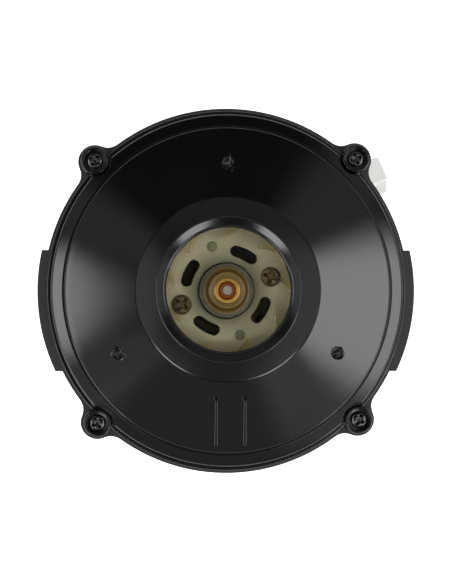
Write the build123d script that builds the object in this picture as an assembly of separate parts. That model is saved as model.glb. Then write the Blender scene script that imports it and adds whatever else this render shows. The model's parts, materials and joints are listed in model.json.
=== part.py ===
"""Suction motor unit of a vacuum cleaner, as an assembly of separate pieces.

A permanent-magnet motor stands on a rubber rear mount. Its shaft carries a
closed centrifugal impeller under a glossy plastic cover. Air enters the eye in
the middle of the cover, leaves the impeller at its rim, passes the vanes of
the diffuser and goes out of the windows in the back of the fan housing.

Millimetres, +Z along the shaft towards the inlet, +X and +Y across it. The
origin is on the shaft axis, at the underside of the rear mount.
"""
from build123d import *
from math import cos, degrees, log, pi, radians, sin, tan
import os

os.makedirs("parts", exist_ok=True)

# Clearances
running_gap = 0.4
ball_gap = 0.04
slip_gap = 0.1
overrun = 1.0

# Motor can and its front boss
can_radius = 21.2
can_wall = 1.2
can_length = 56.5
can_corner = 0.8
boss_radius = 8.75
boss_height = 4.5
boss_cap = 0.6
boss_chamfer = 0.4
shaft_hole_radius = 3.2

# Rear mount, a rubber cup that the unit stands on
mount_base = 2.5
mount_cavity_depth = 7.5
mount_grip = 6.0
mount_wall = 4.2
mount_ledge = 1.6
mount_groove_depth = 1.0
mount_groove_width = 2.0
mount_edge = 0.8
lead_notch_width = 13.0
lead_notch_height = 6.5

# End bell
end_bell_thickness = 3.0
rear_boss_length = 4.5
rear_boss_wall = 1.4

# Shaft
shaft_radius = 2.5
nose_radius = 1.5875
nose_length = 6.7
nose_chamfer = 0.15
shaft_shoulder_lift = 0.3

# Ball bearings
bearing_outer_radius = 8.0
bearing_width = 5.0
race_wall = 1.45
ball_count = 7
cage_thickness = 0.5
cage_width = 1.0

# Armature
air_gap = 0.7
core_lift = 17.0
core_headroom = 15.5
core_hub_radius = 5.2
pole_count = 5
pole_width = 4.5
shoe_thickness = 1.6
shoe_angle = 58.0
insulator_thickness = 0.8
winding_inset = 1.7
winding_overhang = 4.2
winding_round = 2.4
commutator_radius = 5.5
commutator_length = 7.0
commutator_slit_width = 0.5
commutator_slit_depth = 1.2
spacer_radius = 3.5

# Magnets and the spring clips between them
magnet_thickness = 4.4
magnet_overlap = 2.0
magnet_angle = 132.0
clip_thickness = 0.5
clip_leg = 3.0
clip_inset = 2.0

# Flux ring round the can
flux_ring_thickness = 1.6
flux_ring_lift = 14.0
flux_ring_headroom = 10.5
flux_ring_slit = 3.0

# Brush gear and terminals
brush_width = 4.2
brush_height = 4.6
brush_holder_wall = 0.5
brush_holder_gap = 1.7
brush_holder_inset = 4.8
brush_spring_rise = 1.8
brush_spring_span = 3.4
brush_spring_thickness = 0.3
brush_spring_width = 3.6
terminal_inset = 6.7
terminal_width = 4.8
terminal_thickness = 0.8
terminal_drop = 6.4

# Motor plate, between the can and the fan housing
plate_margin = 10.8
plate_thickness = 1.5
motor_screw_circle = 14.5
motor_screw_angle = 17.5
motor_screw_head_radius = 3.5
motor_screw_head_height = 2.2
motor_screw_radius = 2.0
slot_angles = (64.0, 154.0, 241.0, 331.0)
slot_circle = 12.7
slot_width = 3.6
slot_length = 9.0
dimple_radius = 1.7
dimple_depth = 0.5
plate_screw_count = 4
plate_screw_inset = 3.4
plate_screw_angle = 40.0
plate_screw_radius = 1.5
plate_screw_length = 6.0
plate_screw_head_radius = 2.8
plate_screw_head_height = 1.6

# Impeller, moulded with its blades and hub
impeller_margin = 4.0
impeller_disc_thickness = 1.2
impeller_disc_lift = 0.8
blade_count = 9
blade_start_radius = 16.6
blade_thickness = 1.0
blade_inlet_angle = 33.0
blade_outlet_angle = 38.0
blade_first_angle = 14.0
blade_root_sink = 0.4
hub_radius = 5.9
hub_height = 3.3
hub_flare = 1.4
bush_radius = 4.1
bush_height = 5.2
lock_ring_radius = 2.4
lock_ring_depth = 0.7

# Impeller shroud
shroud_thickness = 1.0
shroud_eye_height = 8.9
shroud_tip_height = 4.0

# Diffuser
diffuser_thickness = 1.6
diffuser_clearance = 0.6
diffuser_margin = 4.0
vane_count = 13
vane_start_gap = 0.9
vane_end_gap = 0.3
vane_angle = 18.0
vane_thickness = 1.0
vane_gap = 0.2

# Fan housing
housing_wall = 2.2
housing_height = 19.0
rim_margin = 0.9
rim_height = 4.0
housing_floor = 2.5
shelf_width = 4.0
hub_ring_wall = 2.2
shelf_thickness = 4.0
can_gap = 2.4
window_count = 6
window_inner_margin = 1.8
window_outer_margin = 2.0
window_rib_width = 4.0
window_corner = 1.2
stay_thickness = 1.6
wing_proud = 2.0
wing_top = 12.6
wing_bottom = -25.0
wing_height = 10.0
wing_drop = 0.6
wing_corner = 0.6
lower_ear_radius = 5.2
lower_ear_step = 0.15
lower_ear_height = 7.0
lower_ear_fillet = 5.0
ear_post_radius = 3.9
ear_post_length = 8.0

# Cover and housing screws
ear_reach = 0.5
ear_angle = 45.6
ear_count = 4
upper_ear_radius = 4.4
upper_ear_height = 5.5
upper_ear_fillet = 1.0
upper_ear_step = 0.15
ear_moat_radius = 5.25
ear_moat_wall = 1.4
counterbore_radius = 3.4
counterbore_depth = 2.0
screw_head_radius = 2.5
screw_head_height = 1.7
screw_radius = 1.5
screw_length = 12.0
screw_recess = 0.9
screw_recess_width = 0.7

# Cover
cover_flange_width = 1.5
cover_flange_height = 2.0
cover_radius = 54.2
cover_wall = 1.8
cover_edge = 0.25
cover_height = 14.0
rim_band_width = 3.4
rim_band_rise = 0.8
rim_band_height = 7.0
step_ledge = 0.8
step_height = 1.2
cone_inner_radius = 28.2
flat_ring_thickness = 1.6
gate_count = 3
gate_inset = 10.6
gate_radius = 1.9
gate_depth = 0.6
gate_stub_radius = 0.7
gate_stub_height = 0.5
rib_offsets = (-3.6, 5.2)
rib_inset = 5.6
rib_margin = 2.4
rib_start_width = 0.9
rib_end_width = 1.3
rib_height = 0.6

# Seal between cover and housing
seal_inset = 0.4
seal_width = 1.0
seal_height = 0.7

# Inlet ring, a bell mouth set into the cover
throat_radius = 19.0
lip_radius = 22.4
lip_height = 3.0
lip_dip = 0.4
lip_inner_round = 1.1
lip_outer_round = 0.5
ring_seat_radius = 21.4
nozzle_wall = 1.0
nozzle_drop = 2.9

# Leads
lead_radius = 1.0
lead_straight = 7.5
bend_share = 0.45

# Connector at the end of the leads
connector_reach = 67.8
connector_side = -17.3
connector_angle = 23.3
connector_length = 14.0
connector_width = 8.1
connector_height = 7.0
connector_chamfer = 0.7
latch_width = 4.0
latch_slant = 1.8
latch_height = 4.4
cavity_pitch = 3.96
cavity_width = 2.8
cavity_height = 3.4
cavity_depth = 9.0
contact_width = 1.4
contact_length = 7.6
lead_pitch = 3.96

# Sizes that follow the can
core_length = can_length - core_lift - core_headroom
flux_ring_length = can_length - flux_ring_lift - flux_ring_headroom
magnet_outer_radius = can_radius - can_wall
magnet_inner_radius = magnet_outer_radius - magnet_thickness
core_radius = magnet_inner_radius - air_gap
winding_radius = core_radius - winding_inset
brush_holder_start = commutator_radius + brush_holder_gap
brush_holder_end = can_radius - brush_holder_inset
brush_length = brush_holder_end - brush_holder_wall - brush_spring_rise - commutator_radius
terminal_radius = can_radius - terminal_inset
plate_radius = can_radius + plate_margin
plate_screw_circle = plate_radius - plate_screw_inset

# Radii of the fan end, all measured from the cover's outer wall
cover_flange_radius = cover_radius + cover_flange_width
rim_radius = cover_flange_radius + rim_margin
wing_radius = rim_radius + wing_proud
ear_circle = rim_radius + ear_reach
seal_radius = cover_radius - seal_inset
rim_band_inner_radius = cover_radius - rim_band_width
step_radius = rim_band_inner_radius - step_ledge
housing_inner_radius = cover_radius - cover_wall
impeller_radius = step_radius - impeller_margin
vane_start_radius = impeller_radius + vane_start_gap
vane_end_radius = step_radius - vane_end_gap
diffuser_inner_radius = plate_radius + diffuser_clearance
diffuser_outer_radius = housing_inner_radius - diffuser_margin
gate_circle = cone_inner_radius + gate_inset
rib_start = cone_inner_radius + rib_inset
rib_end = step_radius - rib_margin
shelf_radius = plate_radius + shelf_width
hub_bore_radius = can_radius + can_gap
hub_ring_radius = hub_bore_radius + hub_ring_wall
window_inner_radius = hub_ring_radius + window_inner_margin
window_outer_radius = housing_inner_radius - window_outer_margin

# Heights of the stack, from the floor up
can_rear = mount_base + mount_cavity_depth
front_face = can_rear + can_length
plate_top = front_face + plate_thickness
boss_top = front_face + boss_height
shoulder = boss_top + shaft_shoulder_lift
disc_bottom = boss_top + impeller_disc_lift
disc_top = disc_bottom + impeller_disc_thickness
hub_top = disc_top + hub_height
cover_bottom = boss_top
flange_top = cover_bottom + cover_flange_height
cone_top = cover_bottom + cover_height
shroud_eye = disc_top + shroud_eye_height
shroud_tip = disc_top + shroud_tip_height
housing_top = cover_bottom
housing_bottom = housing_top - housing_height
rim_outer_top = cover_bottom + rim_band_height
rim_inner_top = rim_outer_top + rim_band_rise
step_top = rim_inner_top + step_height
pitch_radius = (shaft_radius + bearing_outer_radius) / 2
ball_radius = (bearing_outer_radius - shaft_radius) / 2 - race_wall + race_wall / 4
core_bottom = can_rear + core_lift
core_top = core_bottom + core_length
front_bearing_bottom = boss_top - boss_cap - bearing_width
rear_boss_bottom = can_rear - rear_boss_length
rear_bearing_bottom = rear_boss_bottom + boss_cap
shelf_bottom = front_face - shelf_thickness

BASE = (Align.CENTER, Align.CENTER, Align.MIN)


def disc(radius, bottom, top):
    """A plain round slab."""
    return Pos(0, 0, bottom) * Cylinder(radius, top - bottom, align=BASE)


def ring(inner, outer, bottom, top):
    """A round slab with a hole."""
    return disc(outer, bottom, top) - disc(inner, bottom, top)


def turned(*points):
    """A solid of revolution from (radius, height) corners."""
    corners = [(r, 0, z) for r, z in points]
    return revolve(make_face(Polyline(*corners, close=True)), Axis.Z)


def turned_rounded(radii, *points):
    """A solid of revolution whose corners are rounded by the given radii."""
    corners = [(r, 0, z) for r, z in points]
    return revolve(make_face(FilletPolyline(*corners, radius=radii, close=True)), Axis.Z)


def prism(sketch, bottom, top):
    """A flat outline pulled straight up."""
    return extrude(Pos(0, 0, bottom) * sketch, top - bottom)


def polar(radius, angle):
    """The point at a radius and an angle in degrees."""
    return (radius * cos(radians(angle)), radius * sin(radians(angle)))


def at(radius, angle, height=0):
    """A place on a circle round the shaft, facing outwards."""
    return Rot(0, 0, angle) * Pos(radius, 0, height)


def round_about(count, shape, first=0):
    """Copies of a shape, evenly spaced round the shaft."""
    return [Rot(0, 0, first + 360 * k / count) * shape for k in range(count)]


def sector(inner, outer, start, end):
    """A flat piece of a ring between two angles."""
    middle = (start + end) / 2
    edges = [
        ThreePointArc(polar(outer, start), polar(outer, middle), polar(outer, end)),
        Line(polar(outer, end), polar(inner, end)),
        ThreePointArc(polar(inner, end), polar(inner, middle), polar(inner, start)),
        Line(polar(inner, start), polar(outer, start)),
    ]
    return make_face(edges)


def curved_slot(circle, length, width):
    """A kidney-shaped slot along a circle, centred on the X axis."""
    half = degrees((length - width) / 2 / circle)
    middle = ThreePointArc(polar(circle, -half), polar(circle, 0), polar(circle, half))
    return SlotArc(middle, width)


def spiral_point(start_radius, radius, start_angle, end_radius, angles):
    """The angle that a blade has swept, in radians, when it reaches a radius."""
    first, last = angles
    share = log(radius / start_radius) / log(end_radius / start_radius)
    slope = tan(radians(first + (last - first) * share / 2))
    return start_angle + log(radius / start_radius) / slope


def spiral_blade(start_radius, end_radius, angles, thickness, turn):
    """The outline of a curved blade; turn is 1 or -1 for its sweep."""
    steps = 4
    radii = [start_radius * (end_radius / start_radius) ** (k / steps) for k in range(steps + 1)]
    places = []
    for radius in radii:
        swept = turn * spiral_point(start_radius, radius, 0, end_radius, angles)
        first, last = angles
        share = log(radius / start_radius) / log(end_radius / start_radius)
        lean = swept + turn * (pi / 2 - radians(first + (last - first) * share))
        places.append((radius * cos(swept), radius * sin(swept), lean))
    half = thickness / 2
    left = [(x - half * sin(lean), y + half * cos(lean)) for x, y, lean in places]
    right = [(x + half * sin(lean), y - half * cos(lean)) for x, y, lean in places]
    edges = [
        Spline(*left),
        Line(left[-1], right[-1]),
        Spline(*right[::-1]),
        Line(right[0], left[0]),
    ]
    return make_face(edges)


def ears(radius):
    """Four round lugs on the bolt circle, as flat outlines."""
    return [at(ear_circle, ear_angle + 90 * k) * Circle(radius) for k in range(ear_count)]


def eared_outline(body_radius, ear_radius, blend):
    """A disc with four lugs, blended where they meet it."""
    outline = Circle(body_radius)
    for ear in ears(ear_radius):
        outline += ear
    return fillet(outline.vertices(), blend)


def place_on_ears(shape):
    """Four copies of a shape, one at each cover screw."""
    return [at(ear_circle, ear_angle + 90 * k) * shape for k in range(ear_count)]


def fan_cover():
    """Shallow cone with a stepped rim, an outer wall, a flange and four screw lugs."""
    under_cone = cone_top - flat_ring_thickness
    shell = turned(
        (ring_seat_radius, under_cone),
        (ring_seat_radius, cone_top),
        (cone_inner_radius, cone_top),
        (step_radius, step_top),
        (step_radius, rim_inner_top),
        (rim_band_inner_radius, rim_inner_top),
        (cover_radius - cover_edge, rim_outer_top),
        (cover_radius, rim_outer_top - cover_edge),
        (cover_radius, cover_bottom),
        (cover_radius - cover_wall, cover_bottom),
        (cover_radius - cover_wall, rim_outer_top - cover_wall),
        (step_radius - cover_wall, rim_inner_top - cover_wall),
        (step_radius - cover_wall, step_top - flat_ring_thickness),
        (cone_inner_radius, under_cone),
    )
    flange = prism(eared_outline(cover_flange_radius, upper_ear_radius, upper_ear_fillet),
                   cover_bottom, flange_top)
    shell += flange - disc(cover_radius - cover_wall, cover_bottom, flange_top)
    backing = place_on_ears(disc(ear_moat_radius + ear_moat_wall, cover_bottom, rim_inner_top))
    envelope = disc(cover_radius, cover_bottom, rim_outer_top - cover_edge)
    shell += [envelope & piece for piece in backing]
    shell -= place_on_ears(disc(ear_moat_radius, flange_top, cone_top))
    lug_top = cover_bottom + upper_ear_height
    shell += place_on_ears(disc(upper_ear_radius - upper_ear_step, flange_top, lug_top))
    shell -= place_on_ears(disc(counterbore_radius, lug_top - counterbore_depth, cone_top))
    shell -= place_on_ears(disc(screw_radius + slip_gap, cover_bottom, lug_top))
    shell += cover_ribs()
    slope = gate_height()
    pits = disc(gate_radius, slope - gate_depth, cone_top) - disc(
        gate_stub_radius, slope - gate_depth, slope - gate_depth + gate_stub_height)
    return shell - round_about(gate_count, Pos(gate_circle, 0, 0) * pits, 90)


def gate_height():
    """Height of the cone's top face where the moulding gates sit."""
    share = (gate_circle - cone_inner_radius) / (step_radius - cone_inner_radius)
    return cone_top + (step_top - cone_top) * share


def cover_ribs():
    """Two low ribs that widen outwards, raised from the cone at the bottom of the cover."""
    skin = turned(
        (cone_inner_radius, cone_top - rib_height),
        (cone_inner_radius, cone_top + rib_height),
        (step_radius, step_top + rib_height),
        (step_radius, step_top - rib_height),
    )
    ribs = []
    for x in rib_offsets:
        outline = make_face(Polyline(
            (x - rib_start_width / 2, -rib_start),
            (x - rib_end_width / 2, -rib_end),
            (x + rib_end_width / 2, -rib_end),
            (x + rib_start_width / 2, -rib_start),
            close=True,
        ))
        ribs.append(prism(outline, step_top - rib_height, cone_top + rib_height) & skin)
    return ribs


def inlet_ring():
    """Bell mouth with a round lip, whose nozzle reaches into the shroud's eye."""
    lip_top = cone_top + lip_height
    return turned_rounded(
        [0, 0, lip_inner_round, lip_outer_round, 0, 0, 0, 0, 0],
        (throat_radius, cone_top - nozzle_drop),
        (throat_radius, cone_top),
        (throat_radius, lip_top - lip_dip),
        (lip_radius, lip_top),
        (lip_radius, cone_top),
        (ring_seat_radius - slip_gap / 2, cone_top),
        (ring_seat_radius - slip_gap / 2, cone_top - flat_ring_thickness),
        (throat_radius + nozzle_wall, cone_top - flat_ring_thickness),
        (throat_radius + nozzle_wall, cone_top - nozzle_drop),
    )


def cover_seal():
    """Flat rubber ring in the groove of the housing rim."""
    return ring(seal_radius - seal_width / 2, seal_radius + seal_width / 2,
                housing_top - seal_height, housing_top)


def cover_screws():
    """Four cross-recessed screws that hold the cover on the housing."""
    seat = cover_bottom + upper_ear_height - counterbore_depth
    head = disc(screw_head_radius, seat, seat + screw_head_height)
    reach = 2 * screw_head_radius - screw_recess
    bar = Box(reach, screw_recess_width, 2 * screw_recess)
    recess = Pos(0, 0, seat + screw_head_height) * (bar + Rot(0, 0, 90) * bar)
    return place_on_ears(head + disc(screw_radius, seat - screw_length, seat) - recess)


def fan_housing():
    """Spoked shell that carries the motor plate, with exhaust windows in its back."""
    wall_radius = housing_inner_radius + housing_wall
    floor_top = housing_bottom + housing_floor
    shell = turned(
        (hub_bore_radius, housing_bottom),
        (wall_radius, housing_bottom),
        (wall_radius, housing_top),
        (housing_inner_radius, housing_top),
        (housing_inner_radius, floor_top),
        (hub_ring_radius, floor_top),
        (hub_ring_radius, shelf_bottom),
        (shelf_radius, shelf_bottom),
        (shelf_radius, plate_top),
        (plate_radius + slip_gap, plate_top),
        (plate_radius + slip_gap, front_face),
        (hub_bore_radius, front_face),
    )
    rim = prism(eared_outline(rim_radius, lower_ear_radius, lower_ear_fillet),
                housing_top - rim_height, housing_top)
    shell += rim - disc(housing_inner_radius, housing_top - rim_height, housing_top)
    posts = disc(lower_ear_radius - lower_ear_step, housing_top - lower_ear_height,
                 housing_top - rim_height)
    posts += disc(ear_post_radius, housing_top - lower_ear_height - ear_post_length,
                  housing_top - lower_ear_height)
    bore = disc(housing_inner_radius, housing_bottom, housing_top)
    shell += [post - bore for post in place_on_ears(posts)]
    shell += wings()
    seat = cover_bottom + upper_ear_height - counterbore_depth
    shell -= place_on_ears(disc(screw_radius, seat - screw_length - overrun, housing_top))
    half_window = 180 / window_count - degrees(window_rib_width / 2 / window_outer_radius)
    window = sector(window_inner_radius, window_outer_radius, -half_window, half_window)
    window = prism(fillet(window.vertices(), window_corner),
                   housing_bottom - overrun, floor_top)
    shell -= round_about(window_count, window)
    stay_start = hub_bore_radius + hub_ring_wall / 2
    stay_reach = housing_inner_radius + housing_wall / 2 - stay_start
    stay = Pos(stay_start, 0, floor_top) * Box(
        stay_reach, stay_thickness, shelf_bottom - floor_top,
        align=(Align.MIN, Align.CENTER, Align.MIN))
    shell += round_about(window_count, stay, 180 / window_count)
    pilots = Pos(plate_screw_circle, 0, 0) * disc(plate_screw_radius, shelf_bottom, front_face)
    shell -= round_about(plate_screw_count, pilots, plate_screw_angle)
    return shell - ring(seal_radius - seal_width / 2, seal_radius + seal_width / 2,
                        housing_top - seal_height, housing_top)


def wings():
    """Two locating pads that stand proud of the rim, left and right."""
    top = housing_top - wing_drop
    slab = disc(wing_radius, top - wing_height, top)
    slab -= disc(housing_inner_radius + housing_wall / 2, top - wing_height, top)
    span = wing_top - wing_bottom
    band = Pos(0, (wing_top + wing_bottom) / 2, 0) * RectangleRounded(
        2 * wing_radius + 2 * wing_corner, span, wing_corner)
    pads = slab & prism(band, top - wing_height, top)
    return pads.solids()


def diffuser():
    """Ring plate with curved vanes that turn the impeller's outflow down into the housing."""
    bottom = plate_top
    top = bottom + diffuser_thickness
    vane_top = rim_outer_top - cover_wall - vane_gap
    plate = ring(diffuser_inner_radius, diffuser_outer_radius, bottom, top)
    outline = spiral_blade(vane_start_radius, vane_end_radius, (vane_angle, vane_angle),
                           vane_thickness, 1)
    vane = prism(outline, bottom, vane_top)
    return plate + round_about(vane_count, vane)


def impeller():
    """Back disc, hub and nine backward-curved blades in one clear moulding."""
    body = turned_rounded(
        [0, 0, 0, hub_flare, hub_flare / 4, 0],
        (bush_radius, disc_bottom),
        (impeller_radius, disc_bottom),
        (impeller_radius, disc_top),
        (hub_radius, disc_top),
        (hub_radius, hub_top),
        (bush_radius, hub_top),
    )
    outline = spiral_blade(blade_start_radius, impeller_radius - blade_thickness / 2,
                           (blade_inlet_angle, blade_outlet_angle), blade_thickness, -1)
    blank = prism(outline, disc_top - blade_root_sink, shroud_eye)
    eye = throat_radius + nozzle_wall + running_gap
    room = turned(
        (0, disc_bottom),
        (impeller_radius, disc_bottom),
        (impeller_radius, shroud_tip),
        (eye, shroud_eye),
        (blade_start_radius, shroud_eye - shroud_thickness),
        (0, shroud_eye - shroud_thickness),
    )
    return body + round_about(blade_count, blank & room, blade_first_angle)


def impeller_shroud():
    """Front cone of the impeller, with a collar round the inlet nozzle."""
    eye = throat_radius + nozzle_wall + running_gap
    return turned(
        (eye, shroud_eye),
        (eye, shroud_eye + shroud_thickness),
        (eye + shroud_thickness, shroud_eye + shroud_thickness),
        (impeller_radius, shroud_tip + shroud_thickness),
        (impeller_radius, shroud_tip),
    )


def impeller_bush():
    """Brass bush pressed into the hub, countersunk on top."""
    top = shoulder + bush_height
    return turned(
        (nose_radius, shoulder),
        (bush_radius, shoulder),
        (bush_radius, top),
        (lock_ring_radius, top),
        (nose_radius, top - lock_ring_depth),
    )


def lock_ring():
    """Ring of set locking compound in the countersink of the bush."""
    top = shoulder + bush_height
    return turned(
        (nose_radius, top - lock_ring_depth),
        (lock_ring_radius, top),
        (nose_radius, top),
    )


def shaft():
    """Stepped motor shaft from the rear bearing to the impeller nose."""
    end = shoulder + nose_length
    start = rear_boss_bottom + boss_cap / 2
    return turned(
        (0, start),
        (shaft_radius, start),
        (shaft_radius, shoulder),
        (nose_radius, shoulder),
        (nose_radius, end - nose_chamfer),
        (nose_radius - nose_chamfer, end),
        (0, end),
    )


def bearing(bottom):
    """Outer race, inner race and ball set of one deep-groove bearing."""
    top = bottom + bearing_width
    middle = (bottom + top) / 2
    inner_wall = shaft_radius + race_wall
    outer_wall = bearing_outer_radius - race_wall
    groove = Pos(0, 0, middle) * Torus(pitch_radius, ball_radius + ball_gap)
    outer = ring(outer_wall, bearing_outer_radius, bottom, top) - groove
    inner = ring(shaft_radius, inner_wall, bottom, top) - groove
    ball = Pos(pitch_radius, 0, middle) * Sphere(ball_radius)
    balls = round_about(ball_count, ball)
    cage = ring(pitch_radius - cage_thickness / 2, pitch_radius + cage_thickness / 2,
                middle - cage_width / 2, middle + cage_width / 2)
    for piece in balls:
        cage -= piece
    return outer, inner, balls + cage.solids()


def slot_cuts(bottom, top):
    """Vent slots that pass through the can's face and the motor plate."""
    kidney = prism(curved_slot(slot_circle, slot_length, slot_width), bottom, top)
    return [Rot(0, 0, angle) * kidney for angle in slot_angles]


def motor_screw_places(shape):
    """Two copies of a shape, one at each motor screw."""
    return round_about(2, Pos(motor_screw_circle, 0, 0) * shape, motor_screw_angle)


def motor_can():
    """Drawn steel can with vent slots and a raised bearing boss in its face."""
    inner = can_radius - can_wall
    under = front_face - can_wall
    body = turned(
        (inner, can_rear),
        (can_radius, can_rear),
        (can_radius, front_face - can_corner),
        (can_radius - can_corner, front_face),
        (boss_radius, front_face),
        (boss_radius, boss_top - boss_chamfer),
        (boss_radius - boss_chamfer, boss_top),
        (shaft_hole_radius, boss_top),
        (shaft_hole_radius, boss_top - boss_cap),
        (bearing_outer_radius, boss_top - boss_cap),
        (bearing_outer_radius, under),
        (inner, under),
    )
    body -= motor_screw_places(disc(motor_screw_radius, under - overrun, front_face))
    return body - slot_cuts(under - overrun, front_face + overrun)


def motor_plate():
    """Zinc-plated plate that joins the motor to the fan housing."""
    plate = ring(boss_radius + slip_gap, plate_radius, front_face, plate_top)
    plate -= slot_cuts(front_face - overrun, plate_top + overrun)
    plate -= motor_screw_places(disc(motor_screw_radius, front_face, plate_top))
    dimple = Pos(motor_screw_circle, 0, 0) * disc(dimple_radius, plate_top - dimple_depth,
                                                  plate_top)
    plate -= round_about(2, dimple, motor_screw_angle + 90)
    hole = Pos(plate_screw_circle, 0, 0) * disc(plate_screw_radius, front_face, plate_top)
    return plate - round_about(plate_screw_count, hole, plate_screw_angle)


def motor_screws():
    """Two pan-head screws through the plate into the can's face."""
    head = disc(motor_screw_head_radius, plate_top, plate_top + motor_screw_head_height)
    head = chamfer(head.edges().group_by(Axis.Z)[-1], motor_screw_head_height / 3)
    bar = Box(motor_screw_head_radius, screw_recess_width, 2 * screw_recess)
    recess = Pos(0, 0, plate_top + motor_screw_head_height) * (bar + Rot(0, 0, 90) * bar)
    shank = disc(motor_screw_radius, front_face - can_wall, plate_top)
    return motor_screw_places(head + shank - recess)


def plate_screws():
    """Four screws that hold the motor plate on the housing shelf."""
    head = disc(plate_screw_head_radius, plate_top, plate_top + plate_screw_head_height)
    shank_bottom = max(plate_top - plate_screw_length, shelf_bottom)
    screw = head + disc(plate_screw_radius, shank_bottom, plate_top)
    return round_about(plate_screw_count, Pos(plate_screw_circle, 0, 0) * screw,
                       plate_screw_angle)


def flux_ring():
    """Rolled steel ring, split along one side, sprung round the can."""
    bottom = can_rear + flux_ring_lift
    top = bottom + flux_ring_length
    rolled = ring(can_radius, can_radius + flux_ring_thickness, bottom, top)
    slit = Pos(0, can_radius, (bottom + top) / 2) * Box(
        flux_ring_slit, 4 * flux_ring_thickness, 2 * flux_ring_length)
    return rolled - slit


def magnets():
    """Two arc magnets inside the can, across from the brushes."""
    arc = sector(magnet_inner_radius, magnet_outer_radius,
                 90 - magnet_angle / 2, 90 + magnet_angle / 2)
    block = prism(arc, core_bottom - magnet_overlap, core_top + magnet_overlap)
    return round_about(2, block)


def magnet_clips():
    """Two channel springs that wedge the magnets apart."""
    gap = 90 - magnet_angle / 2
    leg_angle = degrees(clip_thickness / magnet_outer_radius)
    back = magnet_outer_radius - clip_thickness
    outline = sector(back, magnet_outer_radius, -gap, gap)
    outline += sector(back - clip_leg, back, gap - leg_angle, gap)
    outline += sector(back - clip_leg, back, -gap, leg_angle - gap)
    clip = prism(outline, core_bottom + clip_inset, core_top - clip_inset)
    return round_about(2, clip)


def core_outline():
    """Five T-shaped poles round a hub."""
    outline = Circle(core_hub_radius)
    half = shoe_angle / 2
    arm = Pos(core_radius / 2, 0) * Rectangle(core_radius - shoe_thickness, pole_width)
    shoe = sector(core_radius - shoe_thickness, core_radius, -half, half)
    for piece in round_about(pole_count, arm) + round_about(pole_count, shoe):
        outline += piece
    return outline - Circle(shaft_radius)


def armature_core():
    """Stack of laminations on the shaft."""
    return prism(core_outline(), core_bottom, core_top)


def core_insulators():
    """Two fibre washers on the ends of the core."""
    low = ring(shaft_radius, core_radius - shoe_thickness,
               core_bottom - insulator_thickness, core_bottom)
    return [low, Pos(0, 0, core_length + insulator_thickness) * low]


def armature_windings():
    """Copper coils that fill the slots and bulge past the core."""
    inner = core_hub_radius
    low = core_bottom - insulator_thickness
    high = core_top + insulator_thickness
    fill = ring(inner, winding_radius, core_bottom, core_top) - prism(
        core_outline(), core_bottom, core_top)
    end = turned_rounded(
        [0, 0, winding_round, winding_round],
        (inner, high),
        (winding_radius - shoe_thickness, high),
        (winding_radius - shoe_thickness, high + winding_overhang),
        (inner, high + winding_overhang),
    )
    return fill.solids() + [end, mirror(end, Plane.XY.offset((low + high) / 2))]


def commutator():
    """Copper cylinder, slit into one segment for each pole."""
    bottom = rear_bearing_bottom + bearing_width + spacer_radius
    top = bottom + commutator_length
    body = ring(shaft_radius, commutator_radius, bottom, top)
    slit = Pos(commutator_radius, 0, (bottom + top) / 2) * Box(
        2 * commutator_slit_depth, commutator_slit_width, 2 * commutator_length)
    return body - round_about(pole_count, slit, 180 / pole_count)


def shaft_spacers():
    """Three sleeves that hold the parts of the rotor apart on the shaft."""
    first = rear_bearing_bottom + bearing_width
    second = first + spacer_radius + commutator_length
    low = core_bottom - insulator_thickness
    high = core_top + insulator_thickness
    return [
        ring(shaft_radius, spacer_radius, first, first + spacer_radius),
        ring(shaft_radius, spacer_radius, second, low),
        ring(shaft_radius, spacer_radius, high, front_bearing_bottom),
    ]


def end_bell():
    """Moulded rear closure with the rear bearing's boss."""
    inside = can_rear + end_bell_thickness
    outer = bearing_outer_radius + rear_boss_wall
    bell = turned(
        (shaft_hole_radius, rear_boss_bottom),
        (outer, rear_boss_bottom),
        (outer, can_rear),
        (can_radius - can_wall, can_rear),
        (can_radius - can_wall, inside),
        (bearing_outer_radius, inside),
        (bearing_outer_radius, rear_bearing_bottom),
        (shaft_hole_radius, rear_bearing_bottom),
    )
    return bell - terminals()


def brush_centre():
    """Height of the brushes, at the middle of the commutator."""
    return rear_bearing_bottom + bearing_width + spacer_radius + commutator_length / 2


def brush_holders():
    """Two brass channels on the end bell, closed at their outer ends."""
    inside = can_rear + end_bell_thickness
    top = brush_centre() + brush_height / 2 + brush_holder_wall
    length = brush_holder_end - brush_holder_start
    width = brush_width + 2 * brush_holder_wall + 2 * slip_gap
    block = Pos(brush_holder_start, 0, inside) * Box(
        length, width, top - inside, align=(Align.MIN, Align.CENTER, Align.MIN))
    bore_length = length - brush_holder_wall
    bore = Pos(brush_holder_start, 0, brush_centre()) * Box(
        bore_length, width - 2 * brush_holder_wall, brush_height + 2 * slip_gap,
        align=(Align.MIN, Align.CENTER, Align.CENTER))
    return round_about(2, block - bore)


def brushes():
    """Two carbon blocks, hollowed to the commutator's radius."""
    block = Pos(commutator_radius - overrun, 0, brush_centre()) * Box(
        brush_length + overrun, brush_width, brush_height,
        align=(Align.MIN, Align.CENTER, Align.CENTER))
    block -= Pos(0, 0, brush_centre()) * Cylinder(commutator_radius + slip_gap / 2,
                                                  2 * brush_height)
    return round_about(2, block)


def brush_springs():
    """Two bowed leaf springs that push the brushes inwards."""
    half = brush_spring_thickness / 2
    back = commutator_radius + brush_length
    wall = brush_holder_end - brush_holder_wall
    bow = ThreePointArc((wall - half, -brush_spring_span / 2), (back + half, 0),
                        (wall - half, brush_spring_span / 2))
    leaf = prism(SlotArc(bow, brush_spring_thickness), brush_centre() - brush_spring_width / 2,
                 brush_centre() + brush_spring_width / 2)
    return round_about(2, leaf)


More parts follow.
